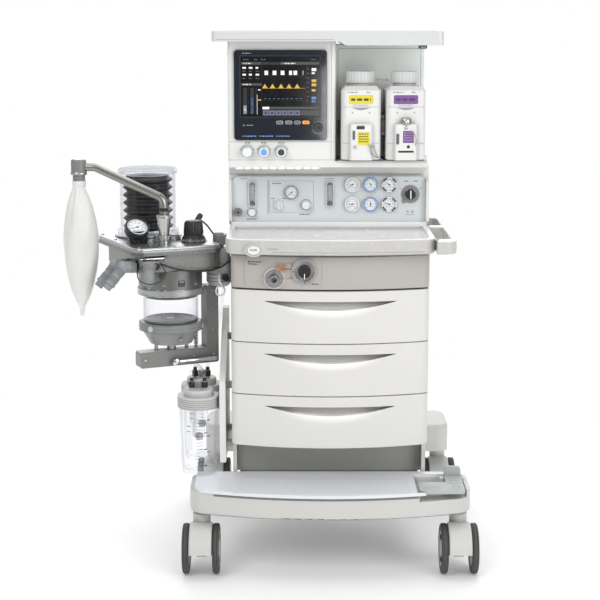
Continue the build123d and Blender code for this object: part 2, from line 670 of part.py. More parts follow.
def rear_cover():
    """Two back panels: the cabinet's, with the gas inlets, and the tower's, with its vents."""
    low = front_plate(-CABINET_HALF, CABINET_HALF, 226, 866, *COVER_Y, 12)
    high = front_plate(-262, 252, 878, 1346, *COVER_Y, 12)
    for slot in vent_field(-200, -60, 300, 8) + vent_field(60, 200, 300, 8):
        low -= slot
    for slot in vent_field(-200, -40, 1180, 9) + vent_field(60, 210, 940, 6):
        high -= slot
    for x in INLET_X:
        low -= nose(x, INLET_Z, 270, 300, 12)
    low -= front_plate(90, 150, 750, 800, 270, 300, 4)
    return group([low, high])


def gas_inlets():
    """Three threaded pipeline inlets and three cylinder yokes on the back."""
    parts = []
    for x in INLET_X:
        inlet = nose(x, INLET_Z, 262, 292, 12) + nose(x, INLET_Z, 292, 300, 18)
        inlet += nose(x, INLET_Z, 300, 318, 10)
        parts.append(inlet - nose(x, INLET_Z, 280, 320, 5))
    for x in YOKE_X:
        plate = front_plate(x - 30, x + 30, YOKE_Z - 45, YOKE_Z + 45, 292, 300, 8)
        frame = front_plate(x - 24, x + 24, YOKE_Z - 28, YOKE_Z + 28, 300, 352, 8)
        frame -= Pos(x, 336, YOKE_Z) * Box(30, 90, 70)
        screw = nose(x, YOKE_Z, 334, 366, 6) + block(x - 22, x + 22, 360, 368, YOKE_Z - 5, YOKE_Z + 5)
        bridge = block(x - 24, x + 24, 344, 352, YOKE_Z - 14, YOKE_Z + 14)
        parts.append(plate + frame + bridge + screw + nose(x, YOKE_Z, 300, 306, 5))
    return group(parts)


def gas_and_power_module():
    """Inside the column: pneumatic block, mixer, power supply and control box."""
    parts = [slab(-200, -20, 40, 200, 742, 800, 6)]
    parts.append(slab(20, 200, 20, 220, 742, 812, 6))
    parts.append(slab(-230, -10, 10, 200, 1064, 1094, 6))
    parts.append(slab(-225, -25, -60, 60, 1130, 1320, 6))
    parts.append(slab(60, 220, 100, 240, 1064, 1180, 6))
    mains_socket = front_plate(96, 144, 754, 796, 276, 294, 3)
    parts.append(mains_socket + block(110, 130, 240, 277, 765, 785))
    return group(parts)


# ---- Breathing system ---------------------------------------------------------------------------
def swivel_bracket():
    """Fixed arm on the table's left side, with the post that the breathing system turns on."""
    arm = block(PIVOT_X, -TABLE_HALF, PIVOT_Y - 16, PIVOT_Y + 16, 829, 856)
    arm += post(PIVOT_X, PIVOT_Y, 829, 856, 16)
    arm = fillet(arm.faces().sort_by(Axis.Z)[-1].edges(), 3.0)
    collar = post(PIVOT_X, PIVOT_Y, 825.5, 829, 14)
    return arm + collar + post(PIVOT_X, PIVOT_Y, 745, 826, POST_R)


def breathing_block():
    """Swivel hub, manifold block and the canister's head, in one casting."""
    hub = cone(0, 0, 755, PLATE_BOTTOM, HUB_R, HUB_R - 6) + post(0, 0, 730, 755, HUB_R)
    hub += cone(0, 0, 720, 730, HUB_R - 8, HUB_R)
    body = slab(-248, -16, -62, 200, BLOCK_BOTTOM, PLATE_BOTTOM, 22)
    body = fillet(body.faces().sort_by(Axis.Z)[0].edges(), 8.0)
    u, v = CANISTER_AT
    head = post(u, v, 722, BLOCK_BOTTOM + 4, 84)
    head += post(u, v, 705, 722, 87)
    head += cone(u, v, 716, 724, 87, 84)
    casting = hub + body + head
    casting -= post(u, v, 700, 760, 70)
    casting -= post(0, 0, 742, 830, POST_R + RUNNING_GAP)
    casting -= post(*APL_AT, 800, 830, 6.5)
    return swing(casting)


def layered_plate():
    """Top plate of two layers with a seam between them and rounded corners."""
    lower = slab(-262, -18, -80, 250, PLATE_BOTTOM, 829, 26)
    upper = slab(-260, -20, -78, 248, 828, PLATE_TOP, 24)
    upper = fillet(upper.faces().sort_by(Axis.Z)[-1].edges(), 4.0)
    return lower + upper


def breathing_plate():
    """Top plate with the arm's socket, two valve domes, the lever's ears and the dome's seat."""
    plate = layered_plate()
    u, v = ARM_AT
    socket = cone(u, v, 850, 908, 11, 19) + post(u, v, 908, 915, 19.5) + post(u, v, PLATE_TOP - 1, 852, 15)
    plate += socket
    plate -= post(u, v, 856, 920, ARM_TUBE_R + RUNNING_GAP)
    for u, v in ((-176, 44), (-104, 62)):
        plate += post(u, v, PLATE_TOP - 1, 852, 15)
        plate += Pos(u, v, 850) * (Sphere(13) & Pos(0, 0, 7) * Box(40, 40, 14))
    u, v = DOME_AT
    plate += post(u, v, PLATE_TOP - 1, 846, 86)
    plate -= post(u, v, 843, 860, DOME_R - 4 + 0.2)
    u, v = LEVER_AT
    for side in (-1, 1):
        ear = block(u - 10, u + 10, v + side * 9 - 3, v + side * 9 + 3, PLATE_TOP - 1, 860)
        plate += fillet(ear.edges().filter_by(Axis.Y).group_by(Axis.Z)[-1], 7.0)
    plate -= nose(u, 852, v - 20, v + 20, 3 + RUNNING_GAP)
    u, v = APL_AT
    return swing(plate - post(u, v, 800, 850, 6 + RUNNING_GAP))


def bag_vent_lever():
    """Selector lever for bag or ventilator: leans right at rest, flips to the left."""
    u, v = LEVER_AT
    hub = nose(u, 852, v - 5.5, v + 5.5, 7)
    stem = Pos(u, v, 852) * Rot(0, 35, 0) * Pos(0, 0, 26) * Cylinder(4, 44)
    grip = Pos(u, v, 852) * Rot(0, 35, 0) * Pos(0, 0, 52) * Cylinder(6.5, 20)
    return swing(hub + stem + grip + nose(u, 852, v - 12, v + 12, 3))


def apl_knob():
    """Pressure limiting valve: flared skirt and fluted grip on a spindle."""
    u, v = APL_AT
    skirt = cone(u, v, PLATE_TOP + 1, 852, 34, 30) + cone(u, v, 852, 860, 30, 24)
    grip = cone(u, v, 859, 893, 24, 21.5)
    for i in range(18):
        angle = radians(20.0 * i)
        grip -= post(u + 25 * cos(angle), v + 25 * sin(angle), 863, 900, 2.6)
    cap = post(u, v, 892, 896, 19)
    return swing(skirt + grip + cap + post(u, v, 802, 842, 6))


def airway_gauge():
    """Round pressure gauge on a stalk, its face tilted up and to the front."""
    u, v = GAUGE_AT
    stalk = cone(u, v, PLATE_TOP, 872, 18, 25)
    face = Pos(u, v - 3, 876) * Rot(GAUGE_TILT, 0, 0)
    can = face * Cylinder(GAUGE_R, 22)
    can -= face * Pos(0, 0, 10) * Cylinder(GAUGE_R - 3.5, 6)
    return swing(stalk + can)


ELBOW_TURN = 222.0         # degrees from straight up to down and left


def hose_elbows():
    """Two 22 mm patient hose cones that point down to the left, and the water cup between them."""
    parts = []
    for v, z in ((-40.0, 790.0), (28.0, 786.0)):
        knee = Pos(-281, v, z)
        down_left = knee * Rot(0, ELBOW_TURN, 0)
        socket = Pos(-262, v, z) * Rot(0, 90, 0) * Cylinder(15, 28)
        arm = down_left * Pos(0, 0, 27) * Cylinder(12.5, 54)
        tip = down_left * Pos(0, 0, 54) * Cylinder(11, 32)
        bore = down_left * Pos(0, 0, 55) * Cylinder(9.5, 34)
        parts.append(socket + knee * Sphere(16) + arm + tip - bore)
    cup = post(-228, -84, 746, 796, 15) + post(-228, -84, 790, 808, 18)
    cup = cup - post(-228, -84, 749, 780, 13)
    parts.append(cup + block(-234, -222, -84, -62.0, 792, 806))
    return swing(group([p - block(-249, -100, -62, 100, 700, 830) for p in parts]))


def bellows_dome():
    """Clear cylinder with a flat, rimmed lid over the bellows."""
    u, v = DOME_AT
    dome = post(u, v, 843, DOME_TOP, DOME_R - 4)
    dome += post(u, v, 846, 860, DOME_R + 4) + post(u, v, DOME_TOP - 12, DOME_TOP - 4, DOME_R)
    dome -= post(u, v, 840, DOME_TOP - 5, DOME_R - 7)
    return swing(dome)


def bellows():
    """Pleated rubber bellows, a stack of bulging pleats."""
    u, v = DOME_AT
    pleats = 7
    pitch = (BELLOWS_TOP - BELLOWS_BOTTOM) / pleats
    stack = post(u, v, BELLOWS_BOTTOM, BELLOWS_TOP, 56)
    for i in range(pleats):
        z = BELLOWS_BOTTOM + pitch * i
        stack += cone(u, v, z, z + pitch / 2, 56, 68)
        stack += cone(u, v, z + pitch / 2, z + pitch, 68, 56)
    return swing(stack)


def canister_jar():
    """Clear absorber jar, open at the top."""
    u, v = CANISTER_AT
    jar = post(u, v, 630, 704.5, 73) - post(u, v, 629, 706, 70)
    return swing(jar)


def canister_bowl():
    """Drain bowl under the jar: clamp ring, bowl, plunger and two guide pins."""
    u, v = CANISTER_AT
    bowl = post(u, v, 607, 630, 84)
    bowl = fillet(bowl.edges(), 5.0)
    bowl += cone(u, v, 572, 610, 56, 78)
    bowl -= post(u, v, 612, 640, 68)
    bowl += post(u, v, 545, 575, 12)
    for side in (-1, 1):
        bowl += post(u + side * 43, v, 536, 580, 5)
    return swing(bowl)


def canister_bracket():
    """L-shaped hanger below the hub: an upright leg and a bar under the canister."""
    v0, v1 = BRACKET_V
    leg = block(-38, -4, v0, v1, 510, 720)
    bar = block(-226, -4, v0, v1, 510, 552)
    bracket = leg + bar
    outer = [e for e in bracket.edges().filter_by(Axis.Y) if e.center().Z < 511 or e.center().X < -225]
    bracket = fillet(outer, 6.0)
    u, v = CANISTER_AT
    bracket -= post(u, v, 531.5, 560, 12 + RUNNING_GAP)
    for side in (-1, 1):
        bracket -= post(u + side * 43, v, 518, 560, 5 + RUNNING_GAP)
    return swing(bracket - nose(u, CAM_Z, v0 - 5, v1 + 5, CAM_R + RUNNING_GAP))


def cam_lever():
    """Chrome release lever: its shaft goes through the bar, its handle lies along it."""
    u = CANISTER_AT[0]
    v0, v1 = BRACKET_V
    shaft = nose(u, CAM_Z, v0 - 14, v1 + 3, CAM_R)
    knee = Pos(u, v0 - 14, CAM_Z) * Sphere(9)
    handle = Pos(u + CAM_HANDLE / 2, v0 - 14, CAM_Z) * Rot(0, 90, 0) * Cone(7.5, 6, CAM_HANDLE)
    tip = Pos(u + CAM_HANDLE, v0 - 14, CAM_Z) * Sphere(6)
    washer = nose(u, CAM_Z, v1 + 1, v1 + 4, 10)
    return swing(shaft + knee + handle + tip + washer)


def bag_arm():
    """Bent tube that carries the reservoir bag, with the bag's connector."""
    x, y = swing_point(*ARM_AT)
    rise = 1040.0 - 858.0
    path = FilletPolyline((0, 0), (0, 100), (-BAG_REACH + 42, rise), (-BAG_REACH, rise), radius=26)
    path = Rot(90, 0, 0) * path
    profile = Circle(ARM_TUBE_R) - Circle(ARM_TUBE_R - 2)
    tube = sweep(profile, path)
    tube = Pos(x, y, 858) * tube
    end_x = x - BAG_REACH
    body = post(end_x, y, 1022, 1060, 20)
    body = fillet(body.faces().sort_by(Axis.Z)[-1].edges(), 4.0)
    collar = post(end_x, y, 1003, 1023, 16)
    flange = post(x, y, 918, 926, 11) - post(x, y, 917, 927, ARM_TUBE_R - 1)
    return tube + body + collar + flange


def breathing_bag():
    """Soft reservoir bag, a long spindle that hangs from the arm."""
    x, y = swing_point(*ARM_AT)
    outline = Spline((14, BAG_TOP), (36, 955), (BAG_R, 870), (34, 750), (4, BAG_BOTTOM))
    shape = make_face(Polyline((4, BAG_BOTTOM), (0, BAG_BOTTOM), (0, BAG_TOP), (14, BAG_TOP)) + outline)
    bag = revolve(Rot(90, 0, 0) * shape, Axis.Z)
    return Pos(x - BAG_REACH, y, 0) * bag


# ---- Suction ------------------------------------------------------------------------------------
def suction_rail():
    """Side plate for the suction jars, stood off the cabinet wall, with a slanted top."""
    outline = Polyline((-192, 262), (62, 262), (62, 640), (22, 640), (-192, 480), (-192, 262))
    plate = Pos(-290, 0, 0) * extrude(Plane.YZ * make_face(outline), 16)
    for y, z in ((-130, 300), (30, 300), (-130, 460), (30, 560)):
        plate += axle(y, z, -275, -CABINET_HALF, 10)
    return plate


def suction_jar(y):
    """Graduated jar with its lid, float post and a hook onto the side plate."""
    jar = cone(JAR_X, y, 236, 408, 47, JAR_R) - cone(JAR_X, y, 240, 409, 43, JAR_R - 4)
    foot = post(JAR_X, y, 229, 236, 44)
    lid = post(JAR_X, y, 408, 440, JAR_R + 3) + post(JAR_X, y, 440, 457, 40)
    lid = fillet(lid.faces().sort_by(Axis.Z)[-1].edges(), 4.0)
    for side in (-1, 1):
        lid += post(JAR_X + side * 17, y - 8, 455, 478, 6)
    lid += block(JAR_X + 45, -290, y - 15, y + 15, 412, 438)
    return [jar + foot, lid]


def suction_jars():
    return group(suction_jar(JAR_Y[0]) + suction_jar(JAR_Y[1]))


# ---- Export -------------------------------------------------------------------------------------
def build():
    os.makedirs("parts", exist_ok=True)
    save("base_frame", base_frame())
    save("base_footrest", base_footrest())
    save("brake_pedal", brake_pedal())
    for end, stem_y in zip(("front", "rear"), CASTOR_STEM_Y):
        for side, x in (("left", -CASTOR_X), ("right", CASTOR_X)):
            save(f"castor_hood_{end}_{side}", castor_hood(x, stem_y))
            save(f"castor_wheels_{end}_{side}", castor_wheels(x, stem_y))
    save("cabinet_shell", cabinet_shell())
    save("drawer_runners", drawer_runners())
    for name, z0 in zip(("bottom", "middle", "top"), DRAWER_BOTTOMS):
        save(f"drawer_{name}", drawer(z0))
    save("lower_front_panel", lower_front_panel())
    save("acgo_selector", acgo_selector())
    save("gas_ports", gas_ports())
    save("work_table", work_table())
    save("oxygen_flush_button", oxygen_flush_button())
    save("side_handle", side_handle())
    save("gauge_panel", gauge_panel())
    save("panel_instruments", panel_instruments())
    save("system_switch", system_switch())
    save("aux_oxygen_knob", aux_oxygen_knob())
    save("suction_selector", suction_selector())
    save("suction_regulator_knob", suction_regulator_knob())
    save("upper_housing", upper_housing())
    save("display_panel", display_panel())
    save("encoder_knob", encoder_knob())
    for name, x in zip(("left", "middle", "right"), FLOW_KNOBS_X):
        save(f"flow_knob_{name}", flow_knob(x))
    save("top_shelf", top_shelf())
    save("vaporizer_manifold", vaporizer_manifold())
    for name, x in zip(("left", "right"), VAPORIZER_X):
        save(f"vaporizer_{name}", vaporizer(x))
        save(f"vaporizer_dial_{name}", vaporizer_dial(x))
    save("rear_cover", rear_cover())
    save("gas_inlets", gas_inlets())
    save("gas_and_power_module", gas_and_power_module())
    save("swivel_bracket", swivel_bracket())
    save("breathing_block", breathing_block())
    save("breathing_plate", breathing_plate())
    save("bag_vent_lever", bag_vent_lever())
    save("apl_knob", apl_knob())
    save("airway_gauge", airway_gauge())
    save("hose_elbows", hose_elbows())
    save("bellows_dome", bellows_dome())
    save("bellows", bellows())
    save("canister_jar", canister_jar())
    save("canister_bowl", canister_bowl())
    save("canister_bracket", canister_bracket())
    save("cam_lever", cam_lever())
    save("bag_arm", bag_arm())
    save("breathing_bag", breathing_bag())
    save("suction_rail", suction_rail())
    save("suction_jars", suction_jars())


build()
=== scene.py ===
import json
import random
from math import cos, exp, hypot, pi, radians, remainder, sin, sqrt, tan

import bmesh
import bpy
from mathutils import Matrix, Vector


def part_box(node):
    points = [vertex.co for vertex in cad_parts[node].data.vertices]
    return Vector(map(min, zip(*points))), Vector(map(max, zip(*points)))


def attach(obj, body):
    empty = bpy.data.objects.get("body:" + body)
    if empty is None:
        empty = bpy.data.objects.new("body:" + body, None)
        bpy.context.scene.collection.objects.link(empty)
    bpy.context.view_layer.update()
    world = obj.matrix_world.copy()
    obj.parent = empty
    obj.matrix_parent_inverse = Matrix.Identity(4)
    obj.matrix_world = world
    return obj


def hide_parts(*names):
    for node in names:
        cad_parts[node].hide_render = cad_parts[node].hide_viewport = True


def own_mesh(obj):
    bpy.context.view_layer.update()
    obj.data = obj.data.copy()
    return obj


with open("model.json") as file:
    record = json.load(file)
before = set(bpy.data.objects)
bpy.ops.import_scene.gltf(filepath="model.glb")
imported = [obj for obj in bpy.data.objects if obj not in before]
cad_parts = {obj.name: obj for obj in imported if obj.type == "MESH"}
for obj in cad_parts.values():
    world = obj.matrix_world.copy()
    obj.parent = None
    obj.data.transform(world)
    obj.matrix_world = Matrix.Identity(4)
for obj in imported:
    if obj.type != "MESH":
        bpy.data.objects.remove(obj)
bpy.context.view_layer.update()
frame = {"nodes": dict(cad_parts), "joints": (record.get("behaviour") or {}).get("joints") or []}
NODES = frame["nodes"]
JOINTS = {j["name"]: j for j in frame["joints"]}
random.seed(7)
MM = 0.001

# ---- Places, all from the frame ------------------------------------------------------------------
UP = Vector((0, 0, 1))
FRONT = Vector((0, -1, 0))
BACK = Vector((0, 1, 0))
LEFT = Vector((-1, 0, 0))
_lo, _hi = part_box("cabinet_shell")
COLUMN = (_lo.x + _hi.x) / 2            # the cabinet's centre plane
PIVOT = Vector(JOINTS["breathing_swivel"]["pos_m"])
PIVOT.z = 0.0
ALONG_V = Vector(JOINTS["cam_lever_turn"]["axis"]).normalized()
ALONG_U = Vector((ALONG_V.y, -ALONG_V.x, 0.0))


def col(x, y, z):
    """Millimetres from the cabinet's centre plane to a point in the frame."""
    return Vector((COLUMN + x * MM, y * MM, z * MM))


def swung(u, v, z):
    """Millimetres along the breathing system's own axes to a point in the frame."""
    return PIVOT + ALONG_U * (u * MM) + ALONG_V * (v * MM) + Vector((0, 0, z * MM))


def around(t):
    """Level direction at angle t in the breathing system's own axes."""
    return ALONG_U * cos(t) + ALONG_V * sin(t)


def middle(node):
    low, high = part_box(node)
    return (low + high) / 2


BAG = middle("breathing_bag")


# ---- Materials -----------------------------------------------------------------------------------
def srgb(r, g, b):
    """0 to 255 display values to linear ones."""
    def one(c):
        c /= 255
        return c / 12.92 if c <= 0.04045 else ((c + 0.055) / 1.055) ** 2.4
    return (one(r), one(g), one(b), 1.0)


class Shader:
    """Node builder around one Principled material."""

    def __init__(self, name):
        self.material = bpy.data.materials.new(name)
        self.material.use_nodes = True
        self.nodes = self.material.node_tree.nodes
        self.links = self.material.node_tree.links
        self.bsdf = self.nodes["Principled BSDF"]
        self.coords = self.nodes.new("ShaderNodeTexCoord").outputs["Object"]

    def node(self, kind, **values):
        made = self.nodes.new(kind)
        for key, value in values.items():
            if key in made.inputs:
                made.inputs[key].default_value = value
            else:
                setattr(made, key, value)
        return made

    def link(self, a, b):
        self.links.new(a, b)

    def scaled(self, scale):
        mapping = self.node("ShaderNodeMapping")
        mapping.inputs["Scale"].default_value = scale
        self.link(self.coords, mapping.inputs["Vector"])
        return mapping.outputs[0]

    def noise(self, scale, detail=4.0, stretch=None, rough=0.55):
        made = self.node("ShaderNodeTexNoise", Scale=scale, Detail=detail, Roughness=rough)
        self.link(self.scaled(stretch) if stretch else self.coords, made.inputs["Vector"])
        return made.outputs["Fac"]

    def ramp(self, fac, low, high, a, b):
        """Maps fac from low..high to a..b."""
        made = self.node("ShaderNodeMapRange")
        made.inputs["From Min"].default_value = low
        made.inputs["From Max"].default_value = high
        made.inputs["To Min"].default_value = a
        made.inputs["To Max"].default_value = b
        self.link(fac, made.inputs["Value"])
        return made.outputs[0]

    def mix(self, fac, a, b, blend="MIX"):
        made = self.nodes.new("ShaderNodeMix")
        made.data_type = "RGBA"
        made.blend_type = blend
        for socket, value in ((made.inputs["Factor"], fac), (made.inputs["A"], a), (made.inputs["B"], b)):
            if hasattr(value, "is_linked"):
                self.link(value, socket)
            else:
                socket.default_value = value
        return made.outputs["Result"]

    def bump(self, height, strength, distance=0.001, normal=None):
        made = self.node("ShaderNodeBump", Strength=strength, Distance=distance)
        self.link(height, made.inputs["Height"])
        if normal:
            self.link(normal, made.inputs["Normal"])
        return made.outputs["Normal"]


def shade(color, factor):
    return (color[0] * factor, color[1] * factor, color[2] * factor, 1.0)


def surface(name, color, rough=0.4, metallic=0.0, grain=900.0, grain_depth=0.12, mottle=0.035,
            crevice_shade=0.35, coat=0.0, soft_edge=0.0009, stretch=None, streak=0.0):
    """A moulded, painted or metal surface: colour drift, fine grain, painted shade in crevices, rounded
    edges.
    """
    s = Shader(name)
    drift = s.noise(5.0, 3.0)
    tone = s.mix(drift, shade(color, 1 - mottle), shade(color, 1 + mottle))
    if streak:
        lines = s.noise(60.0, 3.0, stretch)
        tone = s.mix(s.ramp(lines, 0.3, 0.7, 0.0, 1.0), tone,
                     s.mix(1.0, tone, (1 - streak,) * 3 + (1,), "MULTIPLY"))
    # Painted shade: the base colour is darkened where ambient occlusion finds crevices and recesses.
    crevice = s.node("ShaderNodeAmbientOcclusion", Distance=0.018, samples=6)
    open_share = s.ramp(crevice.outputs["AO"], 0.25, 0.95, 1 - crevice_shade, 1.0)
    tint = s.mix(1.0, tone, (1.0, 1.0, 1.0, 1.0), "MULTIPLY")
    dark = s.node("ShaderNodeHueSaturation", Value=1.0)
    s.link(tint, dark.inputs["Color"])
    s.link(open_share, dark.inputs["Value"])
    s.link(dark.outputs["Color"], s.bsdf.inputs["Base Color"])
    wear = s.noise(28.0, 5.0, stretch)
    s.link(s.ramp(wear, 0.3, 0.7, max(rough - 0.06, 0.02), rough + 0.07), s.bsdf.inputs["Roughness"])
    s.bsdf.inputs["Metallic"].default_value = metallic
    s.bsdf.inputs["Coat Weight"].default_value = coat
    s.bsdf.inputs["Coat Roughness"].default_value = 0.12
    rounded = s.node("ShaderNodeBevel", Radius=soft_edge, samples=4)
    fine = s.noise(grain, 2.0, stretch)
    s.link(s.bump(fine, grain_depth, 0.0004, rounded.outputs[0]), s.bsdf.inputs["Normal"])
    return s.material


DRAWERS_TOP = 0.4558        # height in metres of the top drawer front's lower datum
DRAWER_PITCH = 0.1387       # metres from one drawer front to the next


def drawer_height(s):
    """Column x in metres and the share of a drawer front's height, counted down from its top."""
    place = s.node("ShaderNodeNewGeometry").outputs["Position"]
    split = s.node("ShaderNodeSeparateXYZ")
    s.link(place, split.inputs[0])
    share = s.ramp(split.outputs["Z"], DRAWERS_TOP - 2 * DRAWER_PITCH, DRAWERS_TOP + 3 * DRAWER_PITCH,
                   3.0, 8.0)
    part = s.node("ShaderNodeMath", operation="FRACT")
    s.link(share, part.inputs[0])
    return split.outputs["X"], part.outputs[0]


def relight(s, material, factor):
    """Multiplies a material's colour by a factor socket, to paint shade and highlights into it."""
    wanted = s.bsdf.inputs["Base Color"]
    source = wanted.links[0].from_socket
    level = s.node("ShaderNodeCombineColor")
    for name in ("Red", "Green", "Blue"):
        s.link(factor, level.inputs[name])
    s.link(s.mix(1.0, source, level.outputs[0], "MULTIPLY"), wanted)
    return material


class Existing(Shader):
    """Gives the shader helpers for a material made earlier."""
    def __init__(self, material):
        self.material = material
        self.nodes = material.node_tree.nodes
        self.links = material.node_tree.links
        self.bsdf = self.nodes["Principled BSDF"]
        self.coords = self.nodes.new("ShaderNodeTexCoord").outputs["Object"]


def scoop_painted_shade(material):
    """Finger scoop: painted shade, deep grey under its top edge, and a painted highlight where it turns up
    into the lip.
    """
    s = Existing(material)
    part = drawer_height(s)[1]
    return relight(s, material, s.ramp(part, 0.60, 0.76, 1.45, 0.72))


def lip_painted_highlight(material):
    """Painted highlight: a soft bright band on the drawer front along the lower lip of the finger scoop."""
    s = Existing(material)
    x, part = drawer_height(s)
    off = s.node("ShaderNodeMath", operation="SUBTRACT")
    s.link(x, off.inputs[0])
    off.inputs[1].default_value = COLUMN
    square = s.node("ShaderNodeMath", operation="MULTIPLY")
    s.link(off.outputs[0], square.inputs[0])
    s.link(off.outputs[0], square.inputs[1])
    arc = s.ramp(square.outputs[0], 0.0, 0.0144, 0.62, 0.76)
    depth = s.node("ShaderNodeMath", operation="SUBTRACT")
    s.link(arc, depth.inputs[0])
    s.link(part, depth.inputs[1])
    near = s.node("ShaderNodeMapRange", interpolation_type="SMOOTHSTEP")
    for name, value in (("From Min", 0.0), ("From Max", 0.17), ("To Min", 1.0), ("To Max", 0.0)):
        near.inputs[name].default_value = value
    s.link(depth.outputs[0], near.inputs["Value"])
    middle = s.ramp(square.outputs[0], 0.004, 0.0196, 1.0, 0.0)
    below = s.ramp(depth.outputs[0], -0.03, -0.01, 0.0, 1.0)
    both = s.node("ShaderNodeMath", operation="MULTIPLY")
    s.link(near.outputs[0], both.inputs[0])
    s.link(middle, both.inputs[1])
    shown = s.node("ShaderNodeMath", operation="MULTIPLY")
    s.link(both.outputs[0], shown.inputs[0])
    s.link(below, shown.inputs[1])
    return relight(s, material, s.ramp(shown.outputs[0], 0.0, 1.0, 0.94, 1.26))


def brushed(name, color, rough=0.28, stretch=(3.0, 3.0, 60.0), streak=0.12):
    return surface(name, color, rough, 1.0, 900.0, 0.02, 0.05, 0.45, 0.0, 0.0006, stretch, streak)


def clear(name, tint, edge, gloss=0.05, haze=0.01, rim=0.32):
    """Thin clear plastic: see-through face on, a little greyer and shinier at its edges."""
    s = Shader(name)
    facing = s.node("ShaderNodeLayerWeight", Blend=0.5).outputs["Facing"]
    squared = s.node("ShaderNodeMath", operation="POWER")
    s.link(facing, squared.inputs[0])
    squared.inputs[1].default_value = 3.0
    through = s.node("ShaderNodeBsdfTransparent")
    s.link(s.mix(squared.outputs[0], tint, edge), through.inputs["Color"])
    shine = s.node("ShaderNodeBsdfGlossy", Roughness=gloss)
    shine.inputs["Color"].default_value = (0.97, 0.975, 0.98, 1)
    film = s.noise(40.0, 4.0)
    share = s.node("ShaderNodeMath", operation="ADD")
    s.link(s.ramp(squared.outputs[0], 0.0, 1.0, 0.015, rim), share.inputs[0])
    s.link(s.ramp(film, 0.3, 0.8, 0.0, haze), share.inputs[1])
    mixed = s.node("ShaderNodeMixShader")
    s.link(share.outputs[0], mixed.inputs[0])
    s.link(through.outputs[0], mixed.inputs[1])
    s.link(shine.outputs[0], mixed.inputs[2])
    s.link(mixed.outputs[0], s.nodes["Material Output"].inputs["Surface"])
    return s.material


def glow(name, color, strength, base=(0.01, 0.01, 0.012, 1)):
    """Lit screen graphics, with a fine pixel pitch in its brightness."""
    s = Shader(name)
    dots = s.node("ShaderNodeTexChecker", Scale=2600.0)
    s.link(s.coords, dots.inputs["Vector"])
    s.bsdf.inputs["Base Color"].default_value = base
    s.bsdf.inputs["Roughness"].default_value = 0.3
    s.bsdf.inputs["Emission Color"].default_value = color
    s.link(s.ramp(dots.outputs["Fac"], 0, 1, strength * 0.92, strength), s.bsdf.inputs["Emission Strength"])
    return s.material


def rubber(name, color, rough=0.6, grain_depth=0.3):
    return surface(name, color, rough, 0.0, 1500.0, grain_depth, 0.08, 0.3, 0.0, 0.0004)


def latex(name, color):
    """Bag rubber: soft, slightly see-through, with powdery creases."""
    s = Shader(name)
    cloud = s.noise(9.0, 5.0)
    tone = s.mix(cloud, shade(color, 0.94), shade(color, 1.04))
    s.link(tone, s.bsdf.inputs["Base Color"])
    s.bsdf.inputs["Roughness"].default_value = 0.42
    s.bsdf.inputs["Subsurface Weight"].default_value = 0.35
    s.bsdf.inputs["Subsurface Radius"].default_value = (0.02, 0.017, 0.013)
    s.bsdf.inputs["Sheen Weight"].default_value = 0.25
    s.link(s.ramp(s.noise(30.0, 4.0), 0.3, 0.7, 0.36, 0.5), s.bsdf.inputs["Roughness"])
    creases = s.noise(22.0, 5.0, (6.0, 6.0, 0.8))
    fine = s.bump(s.noise(1100.0, 2.0), 0.12, 0.0003)
    s.link(s.bump(creases, 0.35, 0.004, fine), s.bsdf.inputs["Normal"])
    return s.material
